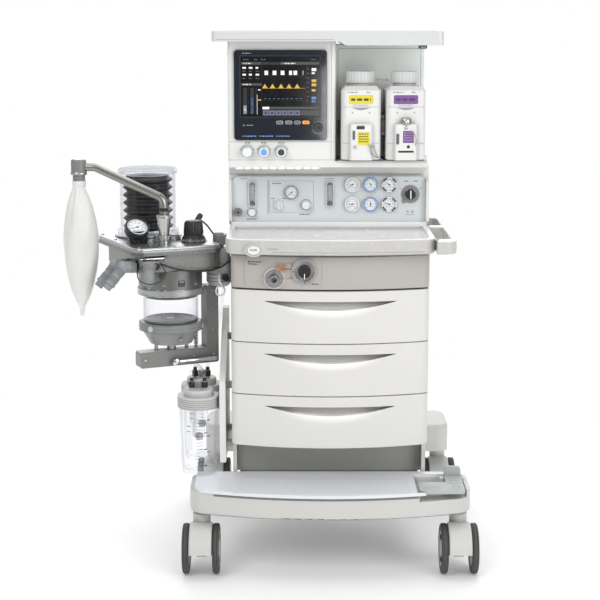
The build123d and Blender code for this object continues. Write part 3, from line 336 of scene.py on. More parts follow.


# Each surface below darkens in its crevices by ambient occlusion: painted shade, set per material.
M = {
    "enamel": surface("enamel_white", srgb(228, 228, 225), 0.32, coat=0.15),
    "housing": surface("housing_white", srgb(230, 231, 228), 0.36, grain_depth=0.10, crevice_shade=0.25),
    "bay": surface("bay_grey_green", srgb(242, 247, 242), 0.45, crevice_shade=0.12),
    "table": surface("table_gloss", srgb(236, 236, 235), 0.22, grain_depth=0.04, coat=0.4, crevice_shade=0.2),
    # Darker copy of the table white: painted shade on the table's front band and on the handle's faces that
    # do not face up.
    "table_painted_side_shade": surface("table_painted_side_shade", srgb(194, 193, 190), 0.26, grain_depth=0.05, coat=0.3),
    "shelf": surface("shelf_grey", srgb(212, 213, 213), 0.32, grain_depth=0.08, coat=0.2),
    # The drawer colour carries a painted highlight along the lower lip of each scoop.
    "drawer": lip_painted_highlight(surface("drawer_satin", srgb(224, 223, 219), 0.38, grain_depth=0.14)),
    "recess": surface("recess_grey", srgb(150, 150, 147), 0.55),
    # Grey for the sheet in the recess below the drawers: painted shade.
    "kick": surface("kick_recess_painted_shade", srgb(172, 172, 170), 0.5, crevice_shade=0.15),
    # The scoop colour carries painted shade under its top edge and a painted highlight at its lip.
    "pull": scoop_painted_shade(surface("pull_recess", srgb(204, 202, 199), 0.42, crevice_shade=0.05)),
    "lower_panel": surface("lower_panel_grey", srgb(178, 174, 169), 0.38, crevice_shade=0.25),
    "trim": surface("trim_grey", srgb(206, 206, 205), 0.38),
    "trim_dark": surface("trim_dark", srgb(122, 124, 124), 0.45),
    "foot": surface("foot_plate", srgb(228, 231, 234), 0.34, grain_depth=0.2, crevice_shade=0.2),
    "pedal": surface("pedal_grey", srgb(178, 184, 184), 0.5, grain_depth=0.35),
    "gauge_panel": surface("gauge_panel", srgb(216, 221, 224), 0.38, grain_depth=0.14, crevice_shade=0.2),
    "castor": surface("castor_hood", srgb(205, 204, 200), 0.40),
    "hub": surface("hub_grey", srgb(188, 188, 186), 0.42),
    "tyre": rubber("tyre_rubber", srgb(76, 76, 75), 0.72, 0.5),
    "black": surface("black_plastic", srgb(30, 30, 31), 0.36, grain_depth=0.2),
    "black_rubber": rubber("black_rubber", srgb(22, 22, 24), 0.5),
    "navy": surface("display_glass", srgb(28, 33, 43), 0.10, grain_depth=0.0, mottle=0.02, coat=1.0),
    "screen": surface("screen_black", srgb(9, 10, 12), 0.16, grain_depth=0.0, coat=0.6),
    "knob_white": surface("knob_white", srgb(236, 238, 239), 0.30, coat=0.2, crevice_shade=0.25),
    "knob_blue": surface("knob_blue", srgb(132, 176, 214), 0.30, coat=0.2),
    "chrome": surface("chrome", srgb(214, 214, 215), 0.09, 1.0, 300.0, 0.02, 0.02, 0.5),
    "steel": brushed("brushed_steel", srgb(186, 186, 184)),
    "tube_steel": brushed("tube_steel", srgb(158, 156, 152), 0.3, (14.0, 14.0, 2.0), 0.10),
    "cast": brushed("cast_aluminium", srgb(184, 186, 187), 0.30, (8.0, 8.0, 8.0), 0.08),
    "cast_dark": brushed("cast_dark", srgb(132, 132, 130), 0.30, (8.0, 8.0, 8.0), 0.10),
    "spun": brushed("spun_steel", srgb(206, 206, 203), 0.26, (2.0, 2.0, 70.0), 0.16),
    "brass": brushed("brass", srgb(196, 168, 104), 0.3, (30.0, 30.0, 3.0), 0.1),
    "bracket": surface("bracket_enamel", srgb(128, 129, 127), 0.34),
    "bracket_light": surface("bracket_light", srgb(196, 197, 195), 0.42),
    "elbow": surface("elbow_grey", srgb(142, 146, 148), 0.42),
    "bowl": surface("bowl_grey", srgb(138, 140, 140), 0.30),
    "clear": clear("clear_plastic", (0.995, 0.995, 1.0, 1), (0.74, 0.76, 0.79, 1)),
    "lens": clear("gauge_glass", (0.99, 0.995, 1.0, 1), (0.9, 0.92, 0.94, 1), 0.03, 0.0, 0.25),
    "bellows": rubber("bellows_rubber", srgb(34, 33, 36), 0.42),
    "bag": latex("bag_latex", srgb(230, 230, 227)),
    "vaporizer": surface("vaporizer_enamel", srgb(222, 222, 220), 0.34, coat=0.15),
    "dial": surface("dial_grey", srgb(212, 214, 214), 0.36),
    "zinc": brushed("zinc_plate", srgb(150, 152, 156), 0.38, (4.0, 4.0, 20.0), 0.12),
    "yellow": surface("label_yellow", srgb(222, 205, 40), 0.38, crevice_shade=0.1),
    "purple": surface("label_purple", srgb(122, 74, 150), 0.38, crevice_shade=0.1),
    "ink": surface("ink_dark", srgb(62, 64, 70), 0.5, crevice_shade=0.0),
    "ink_light": surface("ink_grey", srgb(150, 154, 158), 0.5, crevice_shade=0.0),
    "ink_orange": surface("ink_orange", srgb(188, 112, 62), 0.5, crevice_shade=0.0),
    "ink_red": surface("ink_red", srgb(190, 60, 56), 0.5, crevice_shade=0.0),
    "ink_blue": surface("ink_blue", srgb(112, 166, 232), 0.4, crevice_shade=0.0),
    "paper": surface("dial_white", srgb(248, 249, 250), 0.5, crevice_shade=0.0),
    "cable": rubber("cable_black", srgb(40, 40, 42), 0.45, 0.15),
    "cable_grey": rubber("cable_grey", srgb(150, 150, 148), 0.5, 0.15),
    "tube_clear": clear("suction_tube", (0.96, 0.965, 0.97, 1), (0.70, 0.72, 0.73, 1), 0.08, 0.08),
    "lamp": glow("lamp_strip", (1.0, 1.0, 1.0, 1), 1.4, (0.9, 0.9, 0.9, 1)),
    "led_green": glow("led_green", (0.25, 0.9, 0.4, 1), 0.6),
    "led_amber": glow("led_amber", (1.0, 0.55, 0.1, 1), 0.6),
    "px_white": glow("screen_white", (0.95, 0.97, 1.0, 1), 1.1),
    "px_yellow": glow("screen_yellow", srgb(236, 190, 70), 1.0),
    "px_blue": glow("screen_blue", srgb(120, 165, 225), 0.8),
    "px_grey": glow("screen_grey", srgb(112, 112, 116), 0.6),
    "px_dim": glow("screen_dim", srgb(60, 62, 66), 0.5),
    "px_lavender": glow("screen_lavender", srgb(134, 136, 164), 0.75),
    "px_bar": glow("screen_bar", srgb(92, 94, 88), 0.7),
    "key_orange": glow("key_orange", srgb(232, 150, 50), 0.7, srgb(220, 140, 50)),
    "label_blue": surface("label_blue", srgb(70, 88, 134), 0.35, crevice_shade=0.0),
}


# ---- Geometry helpers ----------------------------------------------------------------------------
def smooth(piece, angle=32.0):
    for polygon in piece.data.polygons:
        polygon.use_smooth = True
    piece.data.set_sharp_from_angle(angle=radians(angle))


def piece_from(name, bm, material, body="machine", angle=32.0):
    """A new visible piece in row coordinates that rides on a body."""
    mesh = bpy.data.meshes.new(name)
    bmesh.ops.remove_doubles(bm, verts=bm.verts, dist=1e-7)
    bmesh.ops.recalc_face_normals(bm, faces=bm.faces)
    bm.to_mesh(mesh)
    bm.free()
    piece = bpy.data.objects.new(name, mesh)
    bpy.context.scene.collection.objects.link(piece)
    for one in material if isinstance(material, list) else [material]:
        mesh.materials.append(one)
    smooth(piece, angle)
    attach(piece, body)
    return piece


def basis(direction):
    """Two unit vectors square to a direction."""
    d = direction.normalized()
    side = UP.cross(d)
    if side.length < 1e-3:
        side = Vector((1, 0, 0))
    side.normalize()
    return side, d.cross(side).normalized()


def ring(bm, centre, a, b, radius, count):
    return [bm.verts.new(centre + (a * cos(t) + b * sin(t)) * radius)
            for t in (2 * pi * i / count for i in range(count))]


def skin(bm, rings, cap_start=True, cap_end=True):
    """Joins rings of equal length into a closed skin."""
    for low, high in zip(rings, rings[1:]):
        for i in range(len(low)):
            j = (i + 1) % len(low)
            bm.faces.new((low[i], low[j], high[j], high[i]))
    if cap_start:
        bm.faces.new(list(reversed(rings[0])))
    if cap_end:
        bm.faces.new(rings[-1])


def lathe(bm, base, direction, profile, count=48, wobble=None):
    """Turned shape: profile is (distance along, radius) in millimetres."""
    a, b = basis(direction)
    d = direction.normalized()
    rings = []
    for along, radius in profile:
        centre = base + d * (along * MM)
        made = []
        for i in range(count):
            t = 2 * pi * i / count
            r = radius * MM * (1 + (wobble(t, along) if wobble else 0))
            made.append(bm.verts.new(centre + (a * cos(t) + b * sin(t)) * r))
        rings.append(made)
    skin(bm, rings)


def knurl(depth, count, low, high):
    """Grip ribs round a turned shape between two distances along it."""
    return lambda t, along: depth * cos(count * t) if low < along < high else 0.0


def turned(name, base, direction, profile, material, body="machine", count=48, wobble=None, angle=32.0):
    bm = bmesh.new()
    lathe(bm, base, direction, profile, count, wobble)
    return piece_from(name, bm, material, body, angle)


def smooth_path(points, steps=10):
    """Catmull-Rom curve through the points."""
    out = []
    ends = [points[0] * 2 - points[1]] + list(points) + [points[-1] * 2 - points[-2]]
    for p0, p1, p2, p3 in zip(ends, ends[1:], ends[2:], ends[3:]):
        for i in range(steps):
            t = i / steps
            out.append(0.5 * ((2 * p1) + (p2 - p0) * t + (2 * p0 - 5 * p1 + 4 * p2 - p3) * t * t
                              + (3 * p1 - p0 - 3 * p2 + p3) * t * t * t))
    out.append(points[-1])
    return out


def sweep(bm, path, radius, count=12, radii=None):
    """Round section along a path; the section keeps turning with the path."""
    direction = path[1] - path[0]
    a, b = basis(direction)
    rings = []
    for i, point in enumerate(path):
        ahead = path[min(i + 1, len(path) - 1)] - path[max(i - 1, 0)]
        turn = direction.rotation_difference(ahead)
        a, b = turn @ a, turn @ b
        direction = ahead
        rings.append(ring(bm, point, a, b, (radii[i] if radii else radius) * MM, count))
    skin(bm, rings)


def wire(name, points, radius, material, body="machine", steps=10, count=12):
    bm = bmesh.new()
    sweep(bm, smooth_path(points, steps), radius, count)
    return piece_from(name, bm, material, body, 60)


def rounded_outline(x0, x1, y0, y1, r, steps=6):
    """Points round a rectangle with rounded corners, as (x, y)."""
    points = []
    for cx, cy, start in ((x1 - r, y1 - r, 0), (x0 + r, y1 - r, 90), (x0 + r, y0 + r, 180),
                          (x1 - r, y0 + r, 270)):
        for i in range(steps + 1):
            t = radians(start + 90 * i / steps)
            points.append((cx + r * cos(t), cy + r * sin(t)))
    return points


def prism(bm, outline, place, depth, edge=0.0):
    """Flat outline pushed back by depth; place(x, y, d) gives the point d mm behind the surface."""
    count = len(outline)
    if edge:
        cx = sum(p[0] for p in outline) / count
        cy = sum(p[1] for p in outline) / count
        wide = max(abs(p[0] - cx) for p in outline)
        tall = max(abs(p[1] - cy) for p in outline)
        inner = [(cx + (x - cx) * (1 - edge / wide), cy + (y - cy) * (1 - edge / tall)) for x, y in outline]
        levels = [(inner, 0.0), (outline, edge), (outline, depth)]
    else:
        levels = [(outline, 0.0), (outline, depth)]
    rings = [[bm.verts.new(place(x, y, d)) for x, y in points] for points, d in levels]
    skin(bm, rings)


def on_front(y):
    """Placement for marks on a face towards -Y at column depth y."""
    return lambda x, z, d: col(x, y + d, z)


def on_top(z):
    """Placement for marks on a level face."""
    return lambda x, y, d: col(x, y, z - d)


def bow(x, front, corner, half):
    """Depth at x of a front that is an arc through its middle and both corners."""
    rise = corner - front
    radius = (half ** 2 + rise ** 2) / (2 * rise)
    return front + radius - sqrt(radius ** 2 - x ** 2)


def on_bow(front, corner, half, lift=0.0):
    """Placement on a front bowed in plan."""
    return lambda x, z, d: col(x, bow(x, front, corner, half) - lift + d, z)


class Prints:
    """Collects thin raised marks, one piece for each material and body."""

    def __init__(self, prefix):
        self.prefix = prefix
        self.meshes = {}

    def mesh(self, ink, body="machine"):
        return self.meshes.setdefault((ink, body), bmesh.new())

    def shape(self, outline, place, ink, body="machine", depth=0.5):
        prism(self.mesh(ink, body), outline, place, depth)

    def bar(self, x0, x1, z0, z1, place, ink, body="machine", r=0.0, depth=0.5):
        if r:
            outline = rounded_outline(x0, x1, z0, z1, r)
        else:
            steps = max(1, int(abs(x1 - x0) / 12))
            low = [(x0 + (x1 - x0) * i / steps, z0) for i in range(steps + 1)]
            high = [(x1 - (x1 - x0) * i / steps, z1) for i in range(steps + 1)]
            outline = low + high
        self.shape(outline, place, ink, body, depth)

    def frame(self, x0, x1, z0, z1, wide, place, ink, r=3.0, body="machine", depth=0.4):
        """Outline of a rounded rectangle."""
        outer = rounded_outline(x0, x1, z0, z1, r)
        inner = rounded_outline(x0 + wide, x1 - wide, z0 + wide, z1 - wide, max(r - wide, 0.2))
        self.band(outer, inner, place, ink, body, depth)

    def band(self, outer, inner, place, ink, body="machine", depth=0.4):
        bm = self.mesh(ink, body)
        rings = [[bm.verts.new(place(x, z, d)) for x, z in points]
                 for points, d in ((outer, 0), (inner, 0), (inner, depth), (outer, depth), (outer, 0))]
        first = rings[0]
        rings[-1] = first
        for low, high in zip(rings, rings[1:]):
            for i in range(len(low)):
                j = (i + 1) % len(low)
                bm.faces.new((low[i], low[j], high[j], high[i]))

    def arc(self, x, z, r, wide, start, end, place, ink, body="machine", depth=0.4, steps=24):
        """Part of a ring, in degrees, anticlockwise from +X."""
        angles = [radians(start + (end - start) * i / steps) for i in range(steps + 1)]
        outline = [(x + (r + wide / 2) * cos(t), z + (r + wide / 2) * sin(t)) for t in angles]
        outline += [(x + (r - wide / 2) * cos(t), z + (r - wide / 2) * sin(t)) for t in reversed(angles)]
        self.shape(outline, place, ink, body, depth)

    def disc(self, x, z, r, place, ink, body="machine", depth=0.5, steps=28):
        angles = [2 * pi * i / steps for i in range(steps)]
        self.shape([(x + r * cos(t), z + r * sin(t)) for t in angles], place, ink, body, depth)

    def text_line(self, x0, x1, z, tall, place, ink, body="machine", word=(3.0, 7.0), gap=1.6):
        """A line of print as short blocks of differing length, with no letters."""
        x = x0
        step = 1 if x1 > x0 else -1
        while (x1 - x) * step > 1.0:
            length = min(random.uniform(*word) * tall / 2.2, abs(x1 - x))
            self.bar(min(x, x + length * step), max(x, x + length * step), z - tall / 2, z + tall / 2,
                     place, ink, body)
            x += (length + gap * tall / 2.2) * step

    def tick(self, x, z, r0, r1, angle, wide, place, ink, body="machine", depth=0.4):
        """Radial mark of a dial between two radii."""
        t = radians(angle)
        c, s = cos(t), sin(t)
        corners = [(r0, -wide / 2), (r1, -wide / 2), (r1, wide / 2), (r0, wide / 2)]
        self.shape([(x + a * c - b * s, z + a * s + b * c) for a, b in corners], place, ink, body, depth)

    def done(self):
        for (ink, body), bm in self.meshes.items():
            piece_from(f"{self.prefix}_{ink}_{body}", bm, M[ink], body, 20)


def bevel_box(bm, low, high, r=0.8, segments=2):
    """Box between two row points, with rounded edges."""
    made = bmesh.ops.create_cube(bm, size=1.0)
    size = high - low
    for v in made["verts"]:
        v.co = Vector((v.co.x * size.x, v.co.y * size.y, v.co.z * size.z)) + (low + high) / 2
    edges = list({e for v in made["verts"] for e in v.link_edges})
    bmesh.ops.bevel(bm, geom=edges, offset=r * MM, segments=segments, profile=0.6, affect="EDGES")


def box_piece(name, x0, x1, y0, y1, z0, z1, material, body="machine", r=0.8):
    bm = bmesh.new()
    bevel_box(bm, col(x0, y0, z0), col(x1, y1, z1), r)
    return piece_from(name, bm, material, body)


def screw_head(bm, base, direction, r):
    """Pan head with a hexagon socket."""
    lathe(bm, base, direction, [(-0.4, r), (r * 0.35, r), (r * 0.6, r * 0.75), (r * 0.62, r * 0.45)], 20)
    d = direction.normalized()
    lathe(bm, base + d * (r * 0.4 * MM), direction, [(0, r * 0.42), (r * 0.24, r * 0.42)], 6)


def screw_piece(name, places, axis, size, body="machine"):
    """One piece made of the steel screw heads at the listed places."""
    bm = bmesh.new()
    for place in places:
        screw_head(bm, place, axis, size)
    return piece_from(name, bm, M["steel"], body)


def plate(name, outline, place, depth, material, body="machine", edge=0.0):
    """A flat outline as a piece of its own."""
    bm = bmesh.new()
    prism(bm, outline, place, depth, edge)
    return piece_from(name, bm, material, body)


def block(name, low, high, bevel, material, body="machine"):
    """A box with rounded edges as a piece of its own."""
    bm = bmesh.new()
    bevel_box(bm, low, high, bevel)
    return piece_from(name, bm, material, body)


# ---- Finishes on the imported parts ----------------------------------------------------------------
def paint(node, materials, rule=None):
    """Materials of a CAD node; rule(centre, normal) gives the index for a face."""
    part = NODES[node]
    part.data.materials.clear()
    for one in materials if isinstance(materials, list) else [materials]:
        part.data.materials.append(one)
    for polygon in part.data.polygons:
        polygon.material_index = rule(polygon.center, polygon.normal) if rule else 0
    smooth(part)


def column_mm(point):
    """Row point to column millimetres."""
    return (point.x - COLUMN) / MM, point.y / MM, point.z / MM


def swung_mm(point):
    """Row point to the breathing system's millimetres."""
    d = point - PIVOT
    return d.dot(ALONG_U) / MM, d.dot(ALONG_V) / MM, point.z / MM


def near(value, target, slack=0.6):
    return abs(value - target) < slack


def paint_base():
    # Downward faces of the base frame take dark grey: painted shade under the base.
    paint("base_frame", [M["castor"], M["trim_dark"]], lambda c, n: 1 if n.z < -0.7 else 0)
    paint("base_footrest", M["foot"])
    paint("brake_pedal", M["pedal"])
    for end in ("front", "rear"):
        for side in ("left", "right"):
            paint(f"castor_hood_{end}_{side}", [M["castor"], M["steel"]],
                  lambda c, n: 1 if column_mm(c)[2] > 155.5 else 0)
            centre = JOINTS[f"wheels_{end}_{side}_roll"]["pos_m"]

            def wheel(c, n, centre=centre):
                reach = hypot(c.y - centre[1], c.z - centre[2]) / MM
                if reach > 46.5:
                    return 0
                return 1 if reach > 7 else 2
            paint(f"castor_wheels_{end}_{side}", [M["tyre"], M["hub"], M["steel"]], wheel)


def paint_cabinet():
    paint("cabinet_shell", M["enamel"])
    paint("drawer_runners", M["steel"])
    for name in ("top", "middle", "bottom"):
        def front(c, n):
            x, y, _ = column_mm(c)
            if y > -145:
                return 2
            limit = bow(min(abs(x), HALF), FRONT_EDGE, FRONT_EDGE + FRONT_BOW, HALF)
            return 1 if y > limit + 2.0 and abs(x) < 176 and y < -205 and abs(n.z) < 0.99 else 0
        paint(f"drawer_{name}", [M["drawer"], M["pull"], M["bracket_light"]], front)
    paint("lower_front_panel", [M["lower_panel"], M["enamel"], M["knob_white"]],
          lambda c, n: lower_panel_part(c))
    paint("acgo_selector", M["black"])
    paint("gas_ports", [M["steel"], M["cast"]])
    # Front-facing faces of the table's edge get the darker copy: painted shade.
    paint("work_table", [M["table"], M["table_painted_side_shade"]],
          lambda c, n: 1 if n.y < -0.3 and column_mm(c)[2] < 868 else 0)
    paint("oxygen_flush_button", M["knob_white"])
    # Faces of the handle that do not face up get the darker copy: painted shade.
    paint("side_handle", [M["table"], M["table_painted_side_shade"]], lambda c, n: 1 if n.z < 0.3 else 0)
    paint("rear_cover", M["housing"])
    paint("gas_inlets", [M["steel"], M["cast"]], lambda c, n: 1 if column_mm(c)[2] < 720 else 0)
    paint("gas_and_power_module", [M["cast"], M["black"]], lambda c, n: 1 if column_mm(c)[2] > 1000 else 0)
    paint("suction_rail", M["enamel"])


FRONT_EDGE = -260.0
FRONT_BOW = 45.0
HALF = 257.0


def lower_panel_part(c):
    x, y, z = column_mm(c)
    if hypot(x + 144, z - 765) < 28 and y < -238:
        return 1
    if hypot(x + 66.5, z - 785) < 26.5 and y > -262:
        return 2
    return 0


def paint_column():
    paint("gauge_panel", [M["gauge_panel"], M["recess"]])
    paint("panel_instruments", [M["chrome"], M["paper"], M["clear"], M["trim"], M["black"]], instrument_part)
    paint("system_switch", M["black"])
    paint("aux_oxygen_knob", M["knob_white"])
    paint("suction_selector", M["knob_white"])
    paint("suction_regulator_knob", M["knob_white"])
    paint("upper_housing", [M["housing"], M["bay"]],
          lambda c, n: 1 if near(column_mm(c)[1], 60, 0.5) and column_mm(c)[0] > 15 else 0)
    paint("display_panel", [M["navy"], M["screen"], M["trim_dark"]], display_part)
    paint("encoder_knob", M["black"])
    for name in ("left", "middle", "right"):
        paint(f"flow_knob_{name}", M["knob_white"])
    paint("top_shelf", M["shelf"])
    paint("vaporizer_manifold", M["bracket"])
    for name in ("left", "right"):
        paint(f"vaporizer_{name}", [M["vaporizer"], M["zinc"]])
        paint(f"vaporizer_dial_{name}", M["dial"])


def display_part(c, n):
    """The sunk screen takes material 1 and the ledge round it material 2."""
    y = column_mm(c)[1]
    if near(y, -105.5, 0.3):
        return 1
    return 2 if near(y, -100, 0.3) else 0


def instrument_part(c, n):
    x, y, _ = column_mm(c)
    if min(abs(x + 206.6), abs(x - 2.6)) < 14:
        if hypot(min(abs(x + 206.6), abs(x - 2.6)), y - 17) < 5.2:
            return 2
        return 3 if y < 13 else 1
    if y > 12.5:
        return 4
    return 1 if near(y, 7, 0.3) else 0


def paint_breathing():
    paint("swivel_bracket", [M["bracket"], M["steel"]], lambda c, n: 1 if column_mm(c)[2] < 828.5 else 0)

    def block_part(c, n):
        u, v, z = swung_mm(c)
        if hypot(u, v) < 36 and z < 822:
            return 0
        if z < 724.5:
            return 2
        return 1
    paint("breathing_block", [M["bracket_light"], M["cast_dark"], M["cast"]], block_part)
    paint("breathing_plate", [M["cast"], M["cast_dark"], M["clear"], M["spun"]], plate_part)
    paint("bag_vent_lever", M["black"])
    paint("apl_knob", M["black"])
    paint("airway_gauge", M["black"])
    paint("hose_elbows", M["elbow"])
    paint("bellows_dome", M["clear"])
    paint("bellows", M["bellows"])
    paint("canister_jar", M["clear"])
    paint("canister_bowl", [M["bowl"], M["steel"]], lambda c, n: 1 if column_mm(c)[2] < 571 else 0)
    paint("canister_bracket", M["bracket"])
    paint("cam_lever", M["chrome"])
    paint("bag_arm", [M["tube_steel"], M["bracket"]],
          lambda c, n: 1 if hypot(c.x - BAG.x, c.y - BAG.y) < 0.0205 and c.z > 1.0 else 0)
    paint("breathing_bag", M["bag"])
    paint("suction_jars", [M["clear"], M["trim"]], lambda c, n: 1 if column_mm(c)[2] > 407.5 else 0)


def plate_part(c, n):
    u, v, z = swung_mm(c)
    if z < 829.5:
        return 1
    if hypot(u + 156, v + 5) < 20.5 and z > 840.5:
        return 3
    if min(hypot(u + 176, v - 44), hypot(u + 104, v - 62)) < 15.5 and z > 840.5:
        return 2 if z > 852.5 else 3
    return 0


# ---- Camera, light and floor ---------------------------------------------------------------------
def stage_surface(name, bm, material):
    mesh = bpy.data.meshes.new(name)
    bm.to_mesh(mesh)
    bm.free()
    thing = bpy.data.objects.new(name, mesh)
    bpy.context.scene.collection.objects.link(thing)
    mesh.materials.append(material)
    for polygon in mesh.polygons:
        polygon.use_smooth = True
    return thing


def floor():
    """One sheet: level under the machine, curving up far behind it."""
    bm = bmesh.new()
    profile = [(-5.0, 0.0), (3.2, 0.0)]
    profile += [(3.2 + 2.0 * sin(t), 2.0 - 2.0 * cos(t)) for t in (radians(6 * i) for i in range(1, 15))]
    profile += [(5.4, 7.0)]
    rows = [[bm.verts.new((x, y, z)) for y, z in profile] for x in (-7.0, 7.0)]
    for i in range(len(profile) - 1):
        bm.faces.new((rows[0][i], rows[1][i], rows[1][i + 1], rows[0][i + 1]))
    s = Shader("floor_paper")
    tone = s.mix(s.noise(2.0, 3.0), (0.93, 0.93, 0.935, 1), (0.96, 0.96, 0.965, 1))
    s.link(tone, s.bsdf.inputs["Base Color"])
    s.bsdf.inputs["Roughness"].default_value = 0.6
    s.bsdf.inputs["Emission Color"].default_value = (1, 1, 1, 1)
    s.bsdf.inputs["Emission Strength"].default_value = 0.10
    s.bsdf.inputs["Specular IOR Level"].default_value = 0.25
    s.link(s.bump(s.noise(260.0, 3.0), 0.05, 0.0005), s.bsdf.inputs["Normal"])
    reach = s.node("ShaderNodeVectorMath", operation="LENGTH")
    s.link(s.coords, reach.inputs[0])
    fade = s.node("ShaderNodeMapRange", interpolation_type="SMOOTHSTEP")
    fade.inputs["From Min"].default_value = 0.75
    fade.inputs["From Max"].default_value = 1.9
    s.link(reach.outputs["Value"], fade.inputs["Value"])
    white = s.node("ShaderNodeEmission")
    white.inputs["Color"].default_value = (1, 1, 1, 1)
    blend = s.node("ShaderNodeMixShader")
    s.link(fade.outputs[0], blend.inputs[0])
    s.link(s.bsdf.outputs[0], blend.inputs[1])
    s.link(white.outputs[0], blend.inputs[2])
    s.link(blend.outputs[0], s.nodes["Material Output"].inputs["Surface"])
    return stage_surface("floor", bm, s.material)


def area(name, place, target, size, power, tall=None):
    """Rectangular lamp aimed at a target, hidden from the camera."""
    lamp = bpy.data.lights.new(name, "AREA")
    lamp.shape = "RECTANGLE"
    lamp.size = size
    lamp.size_y = tall or size
    lamp.energy = power
    thing = bpy.data.objects.new(name, lamp)
    thing.location = place
    thing.rotation_euler = (Vector(target) - Vector(place)).to_track_quat("-Z", "Y").to_euler()
    bpy.context.scene.collection.objects.link(thing)
    thing.visible_camera = False


def studio():
    scene = bpy.context.scene
    scene.view_settings.view_transform = "Standard"
    scene.view_settings.look = "None"
    scene.cycles.transparent_max_bounces = 40
    camera_data = bpy.data.cameras.new("camera")
    camera_data.lens = 91.8
    camera_data.sensor_width = 36.0
    camera_data.clip_end = 60.0
    camera = bpy.data.objects.new("camera", camera_data)
    camera.location = (0.080, -4.110, 1.390)
    camera.rotation_euler = (radians(80.0), 0.0, 0.0)
    scene.collection.objects.link(camera)
    scene.camera = camera

    world = bpy.data.worlds.new("studio")
    scene.world = world
    world.use_nodes = True
    nodes, links = world.node_tree.nodes, world.node_tree.links
    nodes.clear()
    out = nodes.new("ShaderNodeOutputWorld")
    path = nodes.new("ShaderNodeLightPath")
    coords = nodes.new("ShaderNodeTexCoord")
    split = nodes.new("ShaderNodeSeparateXYZ")
    ramp = nodes.new("ShaderNodeValToRGB")
    ramp.color_ramp.elements[0].position = 0.30
    ramp.color_ramp.elements[0].color = (0.16, 0.16, 0.165, 1)
    ramp.color_ramp.elements[1].position = 0.85
    ramp.color_ramp.elements[1].color = (0.95, 0.95, 0.95, 1)
    shift = nodes.new("ShaderNodeMapRange")
    shift.inputs["From Min"].default_value = -1.0
    links.new(coords.outputs["Generated"], split.inputs[0])
    links.new(split.outputs["Z"], shift.inputs["Value"])
    links.new(shift.outputs[0], ramp.inputs[0])
    soft = nodes.new("ShaderNodeBackground")
    soft.inputs["Strength"].default_value = 0.56
    bands = nodes.new("ShaderNodeTexWave")
    bands.inputs["Scale"].default_value = 0.55
    bands.inputs["Distortion"].default_value = 0.6
    links.new(coords.outputs["Generated"], bands.inputs["Vector"])
    contrast = nodes.new("ShaderNodeMapRange")
    contrast.inputs["To Min"].default_value = 0.7
    contrast.inputs["To Max"].default_value = 1.45
    links.new(bands.outputs["Fac"], contrast.inputs["Value"])
    banded = nodes.new("ShaderNodeMix")
    banded.data_type = "RGBA"
    banded.blend_type = "MULTIPLY"
    links.new(path.outputs["Is Glossy Ray"], banded.inputs[0])
    links.new(ramp.outputs[0], banded.inputs[6])
    links.new(contrast.outputs[0], banded.inputs[7])
    links.new(banded.outputs[2], soft.inputs["Color"])
    plain = nodes.new("ShaderNodeBackground")
    plain.inputs["Color"].default_value = (1, 1, 1, 1)
    plain.inputs["Strength"].default_value = 1.0
    mixed = nodes.new("ShaderNodeMixShader")
    links.new(path.outputs["Is Camera Ray"], mixed.inputs[0])
    links.new(soft.outputs[0], mixed.inputs[1])
    links.new(plain.outputs[0], mixed.inputs[2])
    links.new(mixed.outputs[0], out.inputs["Surface"])

    area("key", (-2.2, -3.6, 3.4), (0.1, 0.0, 0.8), 2.2, 68, 2.2)
    area("fill", (3.0, -3.2, 1.8), (0.1, 0.0, 0.7), 2.4, 62, 2.4)
    area("top", (0.2, 0.3, 4.2), (0.1, 0.0, 0.0), 3.0, 52, 3.0)
    area("bay_fill", (0.30, -1.1, 1.12), (0.31, 0.0, 1.24), 0.3, 1.3)
    area("back", (0.0, 3.6, 2.6), (0.1, 0.2, 0.8), 3.0, 36, 2.0)


# ---- Display, knobs and vaporizer bay ------------------------------------------------------------
SCREEN_Y = -105.5          # the sunk screen face
GLASS_Y = -107.0
TOWER_Y = -100.0
SCREEN_LEFT, SCREEN_TOP = -232.0, 1323.0
CROP = 0.349               # millimetres for one layout unit of the screen drawing


